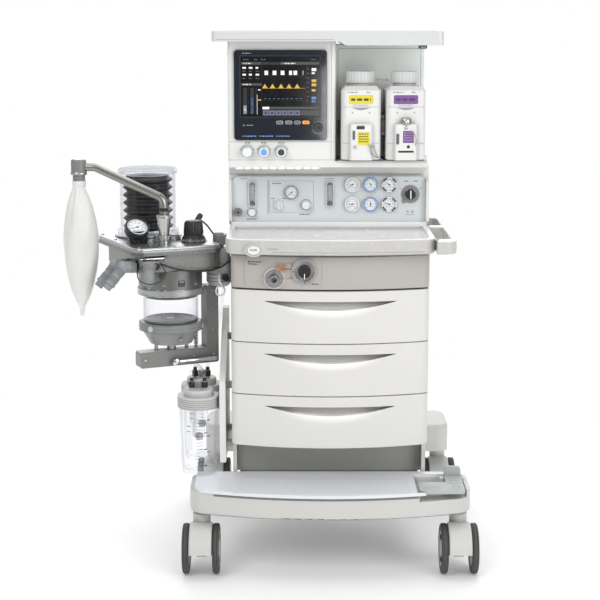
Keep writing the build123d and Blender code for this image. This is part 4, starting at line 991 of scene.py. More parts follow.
def screen_graphics():
    """Monitor picture: status line, number grid, bar graphs, square waves and soft keys."""
    prints = Prints("screen")
    place = on_front(SCREEN_Y - 0.3)

    def bar(x0, x1, y0, y1, ink):
        prints.bar(SCREEN_LEFT + (x0 - 110) * CROP, SCREEN_LEFT + (x1 - 110) * CROP,
                   SCREEN_TOP - (y1 - 200) * CROP, SCREEN_TOP - (y0 - 200) * CROP, place, ink, depth=0.25)

    def words(x0, x1, y, tall, ink):
        prints.text_line(SCREEN_LEFT + (x0 - 110) * CROP, SCREEN_LEFT + (x1 - 110) * CROP,
                         SCREEN_TOP - (y - 200) * CROP, tall * CROP, place, ink)

    for x0, x1 in ((130, 175), (210, 240), (262, 295), (635, 670)):
        words(x0, x1, 222, 9, "px_grey")
    bar(115, 265, 240, 260, "px_bar")
    bar(272, 398, 240, 260, "px_dim")
    bar(402, 695, 240, 260, "px_bar")
    words(125, 200, 250, 8, "px_white")
    words(290, 350, 250, 8, "px_grey")
    words(420, 520, 250, 8, "px_white")
    bar(267, 269, 240, 590, "px_dim")
    for i, y in enumerate((283, 308, 333, 360)):
        for j, x in enumerate((124, 172, 222)):
            words(x, x + 26, y, 13 if i % 2 == 0 else 8, "px_white" if i % 2 == 0 else "px_grey")
    bar(115, 265, 396, 414, "px_bar")
    words(125, 190, 405, 8, "px_white")
    for x0, x1 in ((128, 156), (182, 208), (222, 228)):
        bar(x0, x1, 430, 622, "px_dim")
    for i in range(9):
        bar(160, 170 if i % 2 else 175, 440 + 21 * i, 442 + 21 * i, "px_grey")
    bar(131, 153, 560, 622, "px_white")
    bar(185, 205, 500, 622, "px_blue")
    bar(231, 234, 480, 625, "px_white")
    words(240, 262, 445, 9, "px_white")
    words(240, 262, 520, 9, "px_yellow")
    waves = ((288, 314), (348, 376), (408, 436), (470, 492), (503, 530), (572, 575))
    for x0, x1 in waves:
        bar(x0, x1, 304, 335, "px_white")
    for x in (290, 347, 410, 470, 530):
        left, right = SCREEN_LEFT + (x - 20 - 110) * CROP, SCREEN_LEFT + (x + 20 - 110) * CROP
        low, high = SCREEN_TOP - 232 * CROP, SCREEN_TOP - 200 * CROP
        prints.shape([(left, low), (right, low), ((left + right) / 2, high)], place, "px_yellow", depth=0.25)
    bar(272, 590, 432, 434, "px_yellow")
    for i in range(9):
        bar(285 + 33 * i, 300 + 33 * i, 508, 511, "px_blue")
    bar(272, 590, 340, 341.5, "px_dim")
    bar(272, 590, 520, 521.5, "px_dim")
    bar(596, 598, 262, 590, "px_dim")
    readings = ((296, 22, "px_white"), (322, 12, "px_white"), (378, 20, "px_yellow"), (408, 20, "px_yellow"),
                (448, 16, "px_yellow"), (505, 20, "px_blue"), (530, 12, "px_blue"))
    for y, tall, ink in readings:
        words(638, 672, y, tall, ink)
    for i in range(8):
        words(602, 618, 290 + 34 * i, 7, "px_grey")
    bar(272, 322, 570, 588, "px_white")
    bar(324, 690, 570, 588, "px_bar")
    for i in range(6):
        x = 275 + 47 * i
        bar(x, x + 43, 596, 634, "px_lavender")
        bar(x + 12, x + 31, 606, 624, "px_dim")
    bar(558, 695, 596, 634, "px_bar")
    words(572, 670, 607, 7, "px_grey")
    words(572, 650, 622, 7, "px_grey")
    prints.done()


def display_keys():
    """Keys, lamp rings and small printed marks on the glass below the screen."""
    prints = Prints("keys")
    place = on_front(GLASS_Y - 0.35)

    def at(x, y):
        return SCREEN_LEFT + (x - 110) * CROP, SCREEN_TOP - (y - 200) * CROP
    for x0, x1 in ((375, 425), (443, 493), (510, 555)):
        left, top = at(x0, 674)
        right, low = at(x1, 698)
        prints.frame(left, right, low, top, 1.0, place, "knob_white", 3.0)
        prints.text_line(left + 3, right - 3, (low + top) / 2, 2.2, place, "ink_light")
    left, top = at(570, 673)
    right, low = at(622, 698)
    prints.bar(left, right, low, top, place, "key_orange", r=3.0, depth=0.6)
    prints.bar(left + 5, right - 5, (low + top) / 2 - 1.2, (low + top) / 2 + 1.2, place, "ink")
    x, z = -30.0, 1141.0
    prints.arc(x, z, 14.5, 0.8, 0, 359, place, "ink_light")
    prints.arc(x, z, 17.5, 1.0, 200, 340, place, "ink_light")
    for i, x0 in enumerate((-222, -178, -134)):
        prints.text_line(x0, x0 + 30, 1118, 2.6, place, "ink_blue")
        prints.bar(x0 - 6, x0 - 3, 1116.5, 1119.5, place, "ink_light", r=0.8)
    prints.disc(-224, 1146, 2.0, place, "led_green")
    prints.text_line(-217, -200, 1146, 2.2, place, "ink_light")
    prints.text_line(-228, -204, 1331.5, 2.6, place, "ink_light")
    prints.frame(-234.5, -23.5, 1166.5, 1325.5, 1.2, place, "ink", 2.5)
    prints.done()


def knob_marks():
    """Coloured inlays, pointer lines, arcs and lamps round the rotary controls."""
    prints = Prints("knob_marks")
    tower = on_front(TOWER_Y - 0.25)
    for x, name, ink in ((-216.0, "left", "knob_white"), (-172.0, "middle", "ink_blue"),
                         (-127.0, "right", "ink")):
        prints.arc(x, 1077.0, 18.0, 1.1, 20, 160, tower, "ink_light")
        for angle in (20, 160):
            prints.disc(x + 18.0 * cos(radians(angle)), 1077 + 18.0 * sin(radians(angle)), 1.3,
                        tower, "ink")
        prints.arc(x, 1077.0, 15.4, 0.8, 0, 359, tower, "ink_light")
        face = on_front(TOWER_Y - 24.0 - 0.25)
        prints.disc(x, 1077.0, 8.6, face, ink, f"flow_knob_{name}")
        prints.tick(x, 1077.0, 9.2, 12.0, 90, 1.2, face, "ink", f"flow_knob_{name}")
    prints.text_line(-222, -208, 1100, 2.2, tower, "ink")
    prints.text_line(-180, -164, 1100, 2.2, tower, "ink")
    prints.text_line(-135, -119, 1100, 2.2, tower, "ink")
    x, z = -30.0, 1141.0
    face = on_front(GLASS_Y - 14.0 - 0.25)
    prints.arc(x, z, 7.4, 0.6, 0, 359, face, "ink_light", "encoder_knob")
    panel = on_front(12.0 - 0.25)
    x, z = -208.0, 905.0
    prints.arc(x, z, 13.5, 0.9, -200, 20, panel, "ink")
    for angle in (-200, 20):
        prints.disc(x + 13.5 * cos(radians(angle)), z + 13.5 * sin(radians(angle)), 1.2, panel, "ink")
    prints.text_line(-222, -196, 886, 2.2, panel, "ink")
    x, z = -136.0, 924.0
    for angle, length in ((40, 10), (90, 8), (140, 10)):
        prints.tick(x, z, 15, 15 + length * 0.3, angle, 0.9, panel, "ink")
    prints.text_line(-156, -146, 942, 2.0, panel, "ink")
    prints.text_line(-126, -116, 942, 2.0, panel, "ink")
    x, z = -62.0, 925.0
    prints.arc(x, z, 14.5, 1.0, 30, 330, panel, "ink")
    prints.tick(x, z, 13.4, 16.2, 20, 1.4, panel, "ink")
    prints.frame(-161, -41, 904, 990, 0.7, panel, "ink_light", 4.0)
    prints.text_line(-152, -128, 983, 2.4, panel, "ink")
    prints.text_line(-80, -50, 899, 2.2, panel, "ink")
    for x0 in (-166.0, -163.6):
        prints.bar(x0, x0 + 0.8, 900, 992, panel, "ink_light")
    x, z = 220.0, 954.0
    for angle in (30, 150):
        prints.tick(x, z, 29, 33, angle, 1.4, panel, "ink")
    prints.text_line(204, 214, 989, 2.2, panel, "ink")
    prints.text_line(228, 240, 989, 2.2, panel, "ink")
    prints.disc(213, 906, 2.3, panel, "led_green")
    prints.disc(227, 906, 2.3, panel, "led_amber")
    prints.arc(213, 906, 3.4, 0.5, 0, 359, panel, "ink_light")
    prints.arc(227, 906, 3.4, 0.5, 0, 359, panel, "ink_light")
    prints.text_line(208, 232, 898, 1.8, panel, "ink_light")
    prints.text_line(-238, -222, 996, 2.0, panel, "ink_light")
    prints.text_line(-10, 16, 996, 2.0, panel, "ink_light")
    prints.done()


def system_dish():
    """Dark dish and chrome ring round the system switch, in the gauge panel's face."""
    place = col(220.0, 12.0, 954.0)
    out = FRONT
    turned("switch_dish", place, out, [(-1.0, 24.6), (0.8, 24.6), (1.2, 23.8), (1.2, 20.0), (0.3, 15.0)],
           M["recess"])
    turned("switch_ring", place, out, [(0.2, 15.2), (2.4, 15.0), (2.9, 14.5), (2.9, 13.9), (0.2, 13.8)],
           M["chrome"])
    lug = bmesh.new()
    outline = rounded_outline(196.5, 208.0, 929.0, 941.0, 4.0)
    prism(lug, outline, on_front(10.6), 2.0, 0.6)
    piece_from("switch_lug", lug, M["recess"])
    prints = Prints("switch")
    prints.bar(218.4, 221.6, 943, 965.5, on_front(-9.3), "paper", "system_switch")
    prints.done()


def gauges():
    """Dial print, needles and glasses of the seven panel gauges."""
    prints = Prints("dials")
    glass = bmesh.new()
    face = on_front(7.0 - 0.2)
    inks = ("paper", "ink_blue", "paper")
    for row, z in enumerate((980.0, 927.0)):
        for column, x in enumerate((63.0, 113.0, 163.0)):
            gauge_dial(prints, x, z, 15.6, face, inks[column], row * 3 + column)
            lathe(glass, col(x, 4.4, z), FRONT, [(0, 16.4), (0.6, 16.4), (0.8, 15.9)], 36)
    gauge_dial(prints, -101.0, 959.0, 14.6, face, "ink_light", 7)
    lathe(glass, col(-101.0, 4.4, 959.0), FRONT, [(0, 15.4), (0.6, 15.4), (0.8, 14.9)], 36)
    piece_from("gauge_glasses", glass, M["lens"])
    prints.done()


def gauge_dial(prints, x, z, r, face, ring_ink, seed):
    """Graduated face with a coloured rim, a needle and a hub."""
    out_face = on_front(3.0 - 0.3)
    prints.band([(x + (r + 4.3) * cos(t), z + (r + 4.3) * sin(t)) for t in circle(48)],
                [(x + (r + 1.2) * cos(t), z + (r + 1.2) * sin(t)) for t in circle(48)], out_face,
                ring_ink, depth=0.3)
    if seed % 3 == 2 and seed < 6:
        for i in range(4):
            prints.arc(x, z, r + 2.7, 3.1, 90 * i + 20, 90 * i + 65, on_front(2.4), "black", depth=0.3)
    for i in range(31):
        angle = 225 - 9 * i
        long = i % 5 == 0
        prints.tick(x, z, r - (3.6 if long else 2.0), r - 0.7, angle, 0.55 if long else 0.3, face, "ink",
                    depth=0.25)
    for i in range(6):
        t = radians(225 - 54 * i)
        cx, cz = x + (r - 6.0) * cos(t), z + (r - 6.0) * sin(t)
        prints.bar(cx - 1.0, cx + 1.0, cz - 0.7, cz + 0.7, face, "ink", depth=0.25)
    # The green zone on these dials is print drawn in the glowing LED material: a painted glow.
    if seed < 3:
        prints.arc(x, z, r - 2.4, 1.6, 60, 130, on_front(6.7), "led_green", depth=0.2)
    prints.bar(x - 3.4, x + 3.4, z - 7.0, z - 5.8, face, "ink_light", depth=0.25)
    sweep_to = (205, 120, 150, 190, 100, 160, 0, 215)[seed]
    t = radians(sweep_to)
    tip, tail = r - 2.6, 3.6
    side = Vector((-sin(t), cos(t)))
    way = Vector((cos(t), sin(t)))
    outline = [way * tip, side * 1.1 - way * 0.5, side * 1.4 - way * tail, -side * 1.4 - way * tail,
               -side * 1.1 - way * 0.5]
    prints.shape([(x + p.x, z + p.y) for p in outline], on_front(5.9), "ink_red" if seed == 7 else "ink",
                 depth=0.4)
    prints.disc(x, z, 1.7, on_front(5.5), "ink", depth=0.8)


def circle(count):
    return [2 * pi * i / count for i in range(count)]


def flow_tubes():
    """Ladder scales, floats and sight-glass ends of the two flow tubes."""
    prints = Prints("tube_scale")
    for x, marks in ((-206.6, 22), (2.6, 30)):
        for i in range(marks):
            z = 927 + 52 * i / marks
            long = i % 5 == 0
            prints.bar(x - 6.6, x - (1.8 if long else 3.6), z, z + 0.5, on_front(12.9), "ink", depth=0.3)
            if long:
                prints.bar(x + 4.8, x + 7.0, z - 0.6, z + 1.1, on_front(12.9), "ink_light", depth=0.3)
        prints.bar(x - 7.2, x - 6.9, 926, 982, on_front(12.9), "ink", depth=0.3)
    prints.done()
    floats = bmesh.new()
    for x in (-206.6, 2.6):
        lathe(floats, col(x, 17, 928.5), UP, [(0, 0.8), (2.2, 2.6), (5.0, 3.4), (5.6, 2.8)], 24)
    piece_from("flow_floats", floats, M["steel"])
    caps = bmesh.new()
    for x in (-206.6, 2.6):
        for z, way in ((921.8, 1), (985.2, -1)):
            lathe(caps, col(x, 17, z), Vector((0, 0, way)), [(0, 5.6), (3.4, 5.6), (4.0, 5.0)], 24)
    piece_from("flow_tube_caps", caps, M["trim"])
    lens = bmesh.new()
    for x in (-206.6, 2.6):
        prism(lens, rounded_outline(x - 7.9, x + 7.9, 921.1, 985.9, 6.8, 8), on_front(9.4), 1.0, 0.4)
    piece_from("flow_tube_windows", lens, M["lens"])


def lamp_strip():
    """Row of lamps under the housing that lights the work surface."""
    bm = bmesh.new()
    for i in range(10):
        x = -244 + 22 * i
        prism(bm, rounded_outline(x, x + 15, -97, -88, 4.0), lambda a, b, d: col(a, b, 1031.5 + d), 4.5)
    piece_from("lamp_strip_lamps", bm, M["lamp"])
    plate("lamp_strip_cover", rounded_outline(-250, -24, -96.5, -88, 3.0),
          lambda a, b, d: col(a, b, 1032.5 + d), 3.2, M["paper"])


def bay_details():
    """Vaporizer labels, filler blocks, sight glasses, studs, wires and the interlock rod."""
    prints = Prints("vaporizer")
    front = on_front(-130.0 - 0.3)
    filler = on_front(-146.0 - 0.3)
    steel = bmesh.new()
    glass = bmesh.new()
    for x, label, name in ((80.0, "yellow", "left"), (196.0, "purple", "right")):
        prints.bar(x - 32, x + 31, 1202, 1225, front, label, r=4.0)
        prints.text_line(x - 26, x + 25, 1213.5, 6.0, on_front(-130.6), "ink", word=(4.0, 9.0))
        prints.text_line(x - 34, x - 6, 1232, 3.0, front, "ink_light")
        prints.text_line(x + 14, x + 24, 1232, 3.0, front, "ink_light")
        for z in (1195.0, 1101.0):
            prints.bar(x - 48, x + 48, z - 0.35, z + 0.35, front, "ink_light", depth=0.4)
        prints.text_line(x - 20, x + 18, 1199, 1.8, front, "ink_light")
        recess = [(x - 24 + 48 * i / 16, 1193 - 6.5 * sin(pi * i / 16)) for i in range(17)]
        prints.shape(recess, front, "ink_light", depth=0.4)
        dial_marks(prints, x, name)
        for dx in (-22, 22):
            lathe(steel, col(x + dx, -130.0, 1180.0), FRONT, [(-0.5, 2.2), (0.8, 2.2), (1.2, 1.5)], 20)
    # Left filler: key slot, sight glass and square label.
    x = 80.0
    prints.bar(x - 12, x + 9, 1138, 1146, filler, "black", r=1.5)
    prints.bar(x - 12, x + 9, 1146, 1148, filler, "ink_light", r=0.8)
    prints.bar(x - 22, x - 16, 1112, 1134, filler, "ink", r=1.2)
    prints.bar(x - 9, x + 22, 1098, 1131, filler, "yellow", r=1.6)
    for i in range(4):
        prints.text_line(x - 6, x + 19, 1126 - 6.5 * i, 2.4, on_front(-146.6), "ink")
    prism(glass, rounded_outline(x - 22.5, x - 15.5, 1110, 1136, 2.0), on_front(-148.0), 2.4, 0.6)
    # Right filler: knurled screw cap, sight glass, square label and drain.
    x = 196.0
    lathe(steel, col(x, -137.0, 1150.5), UP,
          [(-1, 11.0), (1.5, 13.2), (4.5, 13.6), (13.0, 13.6), (15.5, 12.2), (16.5, 9.0), (16.0, 8.6),
           (16.0, 3.0)], 72, knurl(0.02, 30, 4.0, 13.5))
    lathe(steel, col(x, -145.0, 1142.0), FRONT, [(-1, 5.0), (2.0, 5.0), (2.6, 4.0)], 24)
    prints.bar(x - 25, x - 18, 1100, 1126, filler, "ink", r=1.2)
    prints.bar(x - 8, x + 20, 1103, 1134, filler, "purple", r=1.6)
    for i in range(4):
        prints.text_line(x - 5, x + 17, 1129 - 6.2 * i, 2.4, on_front(-146.6), "ink_light")
    prints.disc(x + 6, 1093, 4.2, filler, "black", depth=0.6)
    prints.bar(x - 20, x + 20, 1078, 1083, filler, "black", r=1.0)
    prism(glass, rounded_outline(x - 25.5, x - 17.5, 1098, 1128, 2.0), on_front(-148.0), 2.4, 0.6)
    for x0, z in ((102, 1096.5), (112, 1094.5), (64, 1092)):
        lathe(steel, col(x0, -145.0, z), FRONT,
              [(0, 3.4), (4.0, 3.4), (4.6, 2.6), (7.0, 2.4), (7.6, 1.6)], 24)
    piece_from("vaporizer_metal", steel, M["steel"])
    piece_from("sight_glasses", glass, M["lens"])
    prints.done()
    wire("filler_wire_left", [col(102, -150, 1096), col(104, -152, 1086), col(108, -146, 1074),
                              col(117, -138, 1068), col(128, -120, 1062), col(136, -90, 1057)], 1.1,
                              M["cable_grey"])
    wire("filler_wire_right", [col(112, -150, 1094), col(116, -152, 1082), col(122, -146, 1070),
                               col(130, -134, 1062), col(138, -100, 1056)], 1.1, M["cable_grey"])
    chain()
    box_piece("interlock_bar", 131.9, 144.2, -96, 38, 1120, 1172, M["cast_dark"], r=2.0)
    box_piece("interlock_plate", 130, 146, -112, -98, 1128, 1164, M["black"], r=2.0)
    turned("interlock_rod", col(134, -70, 1262), Vector((1, 0, 0)), [(-12, 3.0), (20, 3.0)], M["steel"])
    for name, x in (("left", 80.0), ("right", 196.0)):
        box_piece(f"lock_lever_{name}", x - 9, x + 9, -34, 20, 1248.2, 1256, M["trim"], r=2.0)
        turned(f"lock_button_{name}", col(x, -2, 1256), UP, [(-1, 7.0), (4.5, 7.0), (6, 5.6)],
               M["trim_dark"])


def chain():
    """Short bead chain that keeps the filler cap."""
    points = smooth_path([col(208, -156, 1136), col(217, -158, 1126), col(222, -152, 1110),
                          col(221, -144, 1094)], 8)
    bm = bmesh.new()
    for point in points:
        bmesh.ops.create_icosphere(bm, subdivisions=2, radius=0.0013, matrix=Matrix.Translation(point))
    piece_from("cap_chain", bm, M["steel"])


def dial_marks(prints, x, name):
    """Graduation round the dial drum and its index ring."""
    body = f"vaporizer_dial_{name}"

    def place(t, z, d):
        r = (35.6 - d) * MM
        return col(x, -70.0, z) + Vector((r * sin(t / 36.0), -r * cos(t / 36.0), 0))
    for i in range(-9, 10):
        t = i * 5.0
        prints.bar(t - 0.35, t + 0.35, 1262, 1266 if i % 3 else 1269, place, "ink", body, depth=0.5)
    for i in (-6, -3, 3, 6):
        t = i * 5.0
        prints.bar(t - 1.6, t + 1.6, 1271.5, 1275, place, "ink", body, depth=0.5)
    prints.arc(0, 1272.5, 3.0, 0.8, 0, 359, place, "ink", body, depth=0.5)
    top = on_top(1285.3)
    prints.arc(x, -70.0, 24.0, 1.2, 0, 359, top, "ink_light", body)
    for i in range(10):
        prints.tick(x, -70.0, 26.0, 29.5, 36 * i, 0.8, top, "ink", body)
    prints.bar(x - 1.2, x + 1.2, -104.5, -101.5, on_top(1255.0), "ink", depth=0.4)


def shelf_details():
    """Catch under the shelf, rubber mat on top, a line along the front edge and screws."""
    box_piece("shelf_catch", 226, 246, -160, -130, 1344.0, 1353.0, M["black"], r=1.5)
    box_piece("shelf_catch_lip", 229, 243, -163, -158, 1342.5, 1350.0, M["trim_dark"], r=1.0)
    plate("shelf_mat", rounded_outline(-286, 271, -147, 272, 10), on_top(1389.6), 1.0, M["table"], edge=0.3)
    prints = Prints("shelf")
    edge = on_front(-165.3)
    prints.bar(-292, 8, 1366.0, 1366.8, edge, "ink_light", depth=0.3)
    prints.done()
    screws = bmesh.new()
    for x in (-290, 276):
        for y in (-40, 120, 250):
            side = -304.0 if x < 0 else 289.0
            screw_head(screws, col(side, y, 1377), Vector((-1 if x < 0 else 1, 0, 0)), 3.0)
    piece_from("shelf_screws", screws, M["steel"])


def housing_details():
    """Joint lines, bay frame, cheek screws and side vents of the upper column."""
    prints = Prints("housing")
    place = on_front(TOWER_Y - 0.2)
    prints.bar(-262, 11, 1102.4, 1103.2, place, "ink_light", depth=0.25)
    prints.bar(-262, 11, 1055.0, 1055.8, place, "ink_light", depth=0.25)
    prints.bar(16, 255, 1049.0, 1049.8, place, "ink_light", depth=0.25)
    prints.bar(3.0, 3.8, 1056, 1358, place, "ink_light", depth=0.25)
    back = on_front(60 - 0.3)
    prints.frame(24, 248, 1180, 1342, 1.0, back, "ink_light", 6.0)
    prints.done()
    box_piece("bay_floor_tray", 22, 250, -96, 56, 1051.6, 1054.2, M["trim"], r=1.0)
    box_piece("bay_side_post", 246, 254.5, -98, 58, 1053.0, 1068, M["housing"], r=2.0)
    # The vent openings are dark plates on the side walls: painted shade inside the slots.
    slots = bmesh.new()
    for i in range(9):
        z = 1180 + 14 * i
        prism(slots, rounded_outline(120, 230, z, z + 6, 2.8), lambda a, b, d: col(-266.25 + d, a, b), 0.5)
        prism(slots, rounded_outline(120, 230, z, z + 6, 2.8), lambda a, b, d: col(256.25 - d, a, b), 0.5)
    piece_from("side_vent_painted_shade", slots, M["ink"])
    screws = bmesh.new()
    for x, way in ((-266.0, -1), (256.0, 1)):
        for y, z in ((-60, 1090), (-60, 1330), (260, 1090), (260, 1330)):
            if x > 0 and y < 0:
                continue
            screw_head(screws, col(x, y, z), Vector((way, 0, 0)), 3.4)
    for x, way in ((-270.0, -1), (270.0, 1)):
        for y, z in ((40, 900), (260, 900), (40, 985), (260, 985)):
            screw_head(screws, col(x, y, z), Vector((way, 0, 0)), 3.0)
    piece_from("housing_screws", screws, M["steel"])


# ---- Cabinet, table, base and castors ------------------------------------------------------------
def cabinet_details():
    """Printed marks on the lower panel, outlet washer, screws, drawer seams and a grey sheet of painted
    shade in the kick recess of the cabinet.
    """
    prints = Prints("cabinet")
    panel = on_bow(FRONT_EDGE, FRONT_EDGE + FRONT_BOW, HALF, 0.3)
    prints.text_line(-212, -176, 806, 3.0, panel, "ink")
    prints.text_line(-212, -186, 800, 2.6, panel, "ink")
    prints.frame(-222, -22, 744, 814, 0.6, panel, "ink_light", 6.0)
    selector = on_front(-262.3)
    prints.arc(-66.5, 785, 29.5, 0.9, 0, 359, selector, "ink")
    for angle in (180, 270):
        prints.tick(-66.5, 785, 27.0, 31.5, angle, 1.6, selector, "ink")
    prints.text_line(-48, -30, 752, 2.4, panel, "ink")
    prints.text_line(-118, -100, 790, 2.4, panel, "ink")
    prints.frame(-141, -98, 766, 806, 0.8, on_front(-260.0 + 4.6), "ink_orange", 2.0)
    for i in range(3):
        prints.text_line(-137, -112, 800 - 7 * i, 3.0, on_front(-260.0 + 4.6), "ink_orange")
    face = on_front(-275.3)
    prints.tick(-66.5, 785, 4, 20, 270, 2.2, face, "paper", "acgo_selector")
    prints.done()
    washers = bmesh.new()
    lathe(washers, col(-144, -254.8, 765), FRONT,
          [(-0.5, 16.5), (1.6, 16.5), (2.2, 15.8), (2.2, 11.8), (-0.4, 11.6)], 48)
    for i in range(3):
        t = radians(90 + 120 * i)
        screw_head(washers, col(-144 + 20 * cos(t), -255.0, 765 + 20 * sin(t)), FRONT, 2.0)
    piece_from("outlet_washer", washers, M["steel"])
    runners = bmesh.new()
    for x in (-257.0, 257.0):
        way = -1 if x < 0 else 1
        for y in (-100, 60, 240):
            for z in (360, 560, 700):
                screw_head(runners, col(x, y, z), Vector((way, 0, 0)), 3.0)
    piece_from("cabinet_screws", runners, M["steel"])
    seams = Prints("cabinet_seams")
    for z0 in (455.8, 594.3, 733.2):
        for x in (-257.2, 257.2):
            way = 1 if x < 0 else -1
            prism(seams.mesh("ink_light"), rounded_outline(-120, 270, z0 - 0.4, z0 + 0.4, 0.3, 2),
                  lambda a, b, d, x=x, way=way: col(x + way * d, a, b), 0.5)
    seams.done()
    # Grey sheet at the back of the recess below the drawers: painted shade.
    box_piece("kick_recess_shade_sheet", -246, 246, -112, -106, 217, 307, M["kick"], r=1.5)


def table_details():
    """Flush button print, raised lip line, the top's liner, and the handle joints with their screws."""
    prints = Prints("table")
    x, z = -195.0, 842.0
    rim = on_bow(-298.0, -264.0, 268.0, 3.4)
    prints.text_line(x - 9, x + 9, z + 1.5, 3.0, on_front(-283.2 - 2.2), "ink_light", "oxygen_flush_button")
    edge = on_bow(-298.0, -264.0, 268.0, 0.25)
    prints.bar(-150, 236, 837.6, 838.3, edge, "ink_light", depth=0.35)
    prints.text_line(-160, -132, 846, 2.6, edge, "ink_light")
    prints.done()
    liner = bmesh.new()
    outline = []
    for i in range(41):
        px = -240 + 12 * i
        outline.append((px, -268 + 20 * (px / 252) ** 2))
    outline += [(240, -16), (-240, -16)]
    prism(liner, outline, on_top(861.9), 1.2, 0.4)
    piece_from("table_liner", liner, M["table"])
    joints = bmesh.new()
    for y in (-272, 13, 211):
        bevel_box(joints, col(268.6, y - 16, 834.5), col(273.5, y + 16, 865.5), 1.0)
    piece_from("handle_brackets", joints, M["trim"])
    screw_piece("handle_screws", [col(271, y, 868.4) for y in (-278, -266, 7, 19)], UP, 2.2)


def base_details():
    """Ribs on the foot plate, its edge trim, the pedal's pattern and castor marks."""
    prints = Prints("base")
    top = on_top(228.35)
    for i in range(9):
        y = -352 + 16 * i
        left = -250 if i == 0 else -290
        right = 205 if y > -356 else 150
        prints.bar(left, right, y, y + 2.2, top, "shelf", depth=0.6)
    prints.done()
    trim = bmesh.new()
    rings = []
    section = ((0.3, -3), (-0.8, -2.2), (-0.8, 2.2), (0.3, 3), (5, 3), (5, -3))
    for i in range(33):
        x = -300 + 526 * i / 32
        y = bow(x, -377.0, -312.0, 364.0)
        rings.append([trim.verts.new(col(x, y + a, 215.5 + b)) for a, b in section])
    skin(trim, rings)
    piece_from("base_trim", trim, M["trim_dark"], angle=25)
    marks = Prints("pedal_marks")
    pedal = on_top(230.35)
    for cx, cy, rx, ry in ((262, -318, 24, 15), (324, -318, 15, 18), (324, -262, 15, 20)):
        for scale in (1.0, 0.72):
            outer = [(cx + rx * scale * cos(t), cy + ry * scale * sin(t)) for t in circle(40)]
            inner = [(cx + (rx - 2.0) * scale * cos(t),
                      cy + (ry - 2.0) * scale * sin(t)) for t in circle(40)]
            marks.band(outer, inner, pedal, "pedal", "brake_pedal", 0.6)
    marks.done()
    for end in ("front", "rear"):
        for side in ("left", "right"):
            castor_details(end, side)
    bolts = [col(x, y, 166) for x in (-200, -60, 60, 200) for y in (-120, 120, 260)]
    screw_piece("base_bolts", bolts, -UP, 4.0)


def castor_details(end, side):
    """Hub caps, tyre grooves, brake mark and the swivel's race of one castor."""
    wheel = JOINTS[f"wheels_{end}_{side}_roll"]["pos_m"]
    stem = JOINTS[f"castor_{end}_{side}_swivel"]["pos_m"]
    centre = Vector((stem[0], wheel[1], wheel[2]))
    caps = bmesh.new()
    for way in (-1, 1):
        out = Vector((way, 0, 0))
        face = centre + out * (46.2 * MM)
        lathe(caps, face, out, [(-1.0, 44.5), (0.2, 44.2), (0.6, 41.0), (-0.2, 38.0), (-0.2, 24.0),
                                (1.0, 21.0), (1.2, 10.0), (0.6, 8.4), (0.6, 3.0)], 48)
    piece_from(f"hub_caps_{end}_{side}", caps, M["hub"], f"wheels_{end}_{side}")
    grooves = bmesh.new()
    for way in (-1, 1):
        for offset in (35.2, 42.8):
            at = centre + Vector((way * offset * MM, 0, 0))
            torus(grooves, at, Vector((1, 0, 0)), 65.0, 0.55, 64, 6)
    piece_from(f"tyre_lines_{end}_{side}", grooves, M["black_rubber"], f"wheels_{end}_{side}")
    body = f"castor_{end}_{side}"
    turned(f"castor_race_{end}_{side}", Vector((stem[0], stem[1], 0.1553)), UP,
           [(-0.3, 20.5), (0.8, 20.5), (1.2, 19.0), (1.2, 14.2), (-0.2, 14.2)], M["steel"], body,
           count=40)
    badge = bmesh.new()

    def on_hood(a, b, d):
        """Round the hood's drum: a across, b degrees up from the front."""
        t = radians(b)
        r = (68.9 - d) * MM
        return centre + Vector((a * MM, -r * cos(t), r * sin(t)))
    prism(badge, rounded_outline(-9, 9, 44, 51, 1.6), on_hood, 0.8, 0.2)
    piece_from(f"castor_mark_{end}_{side}", badge, M["trim"], body)
    plate(f"castor_seam_{end}_{side}", [(-0.5, 10), (0.5, 10), (0.5, 70), (-0.5, 70)],
          lambda a, b, d: on_hood(a, b, d), 0.6, M["trim"], body)


def torus(bm, centre, axis, major, minor, count=64, section=10):
    a, b = basis(axis)
    n = axis.normalized()
    rings = []
    for i in range(count):
        t = 2 * pi * i / count
        out = a * cos(t) + b * sin(t)
        hub = centre + out * (major * MM)
        rings.append([bm.verts.new(hub + (out * cos(p) + n * sin(p)) * (minor * MM))
                      for p in (2 * pi * k / section for k in range(section))])
    for i in range(count):
        low, high = rings[i], rings[(i + 1) % count]
        for k in range(section):
            m = (k + 1) % section
            bm.faces.new((low[k], low[m], high[m], high[k]))


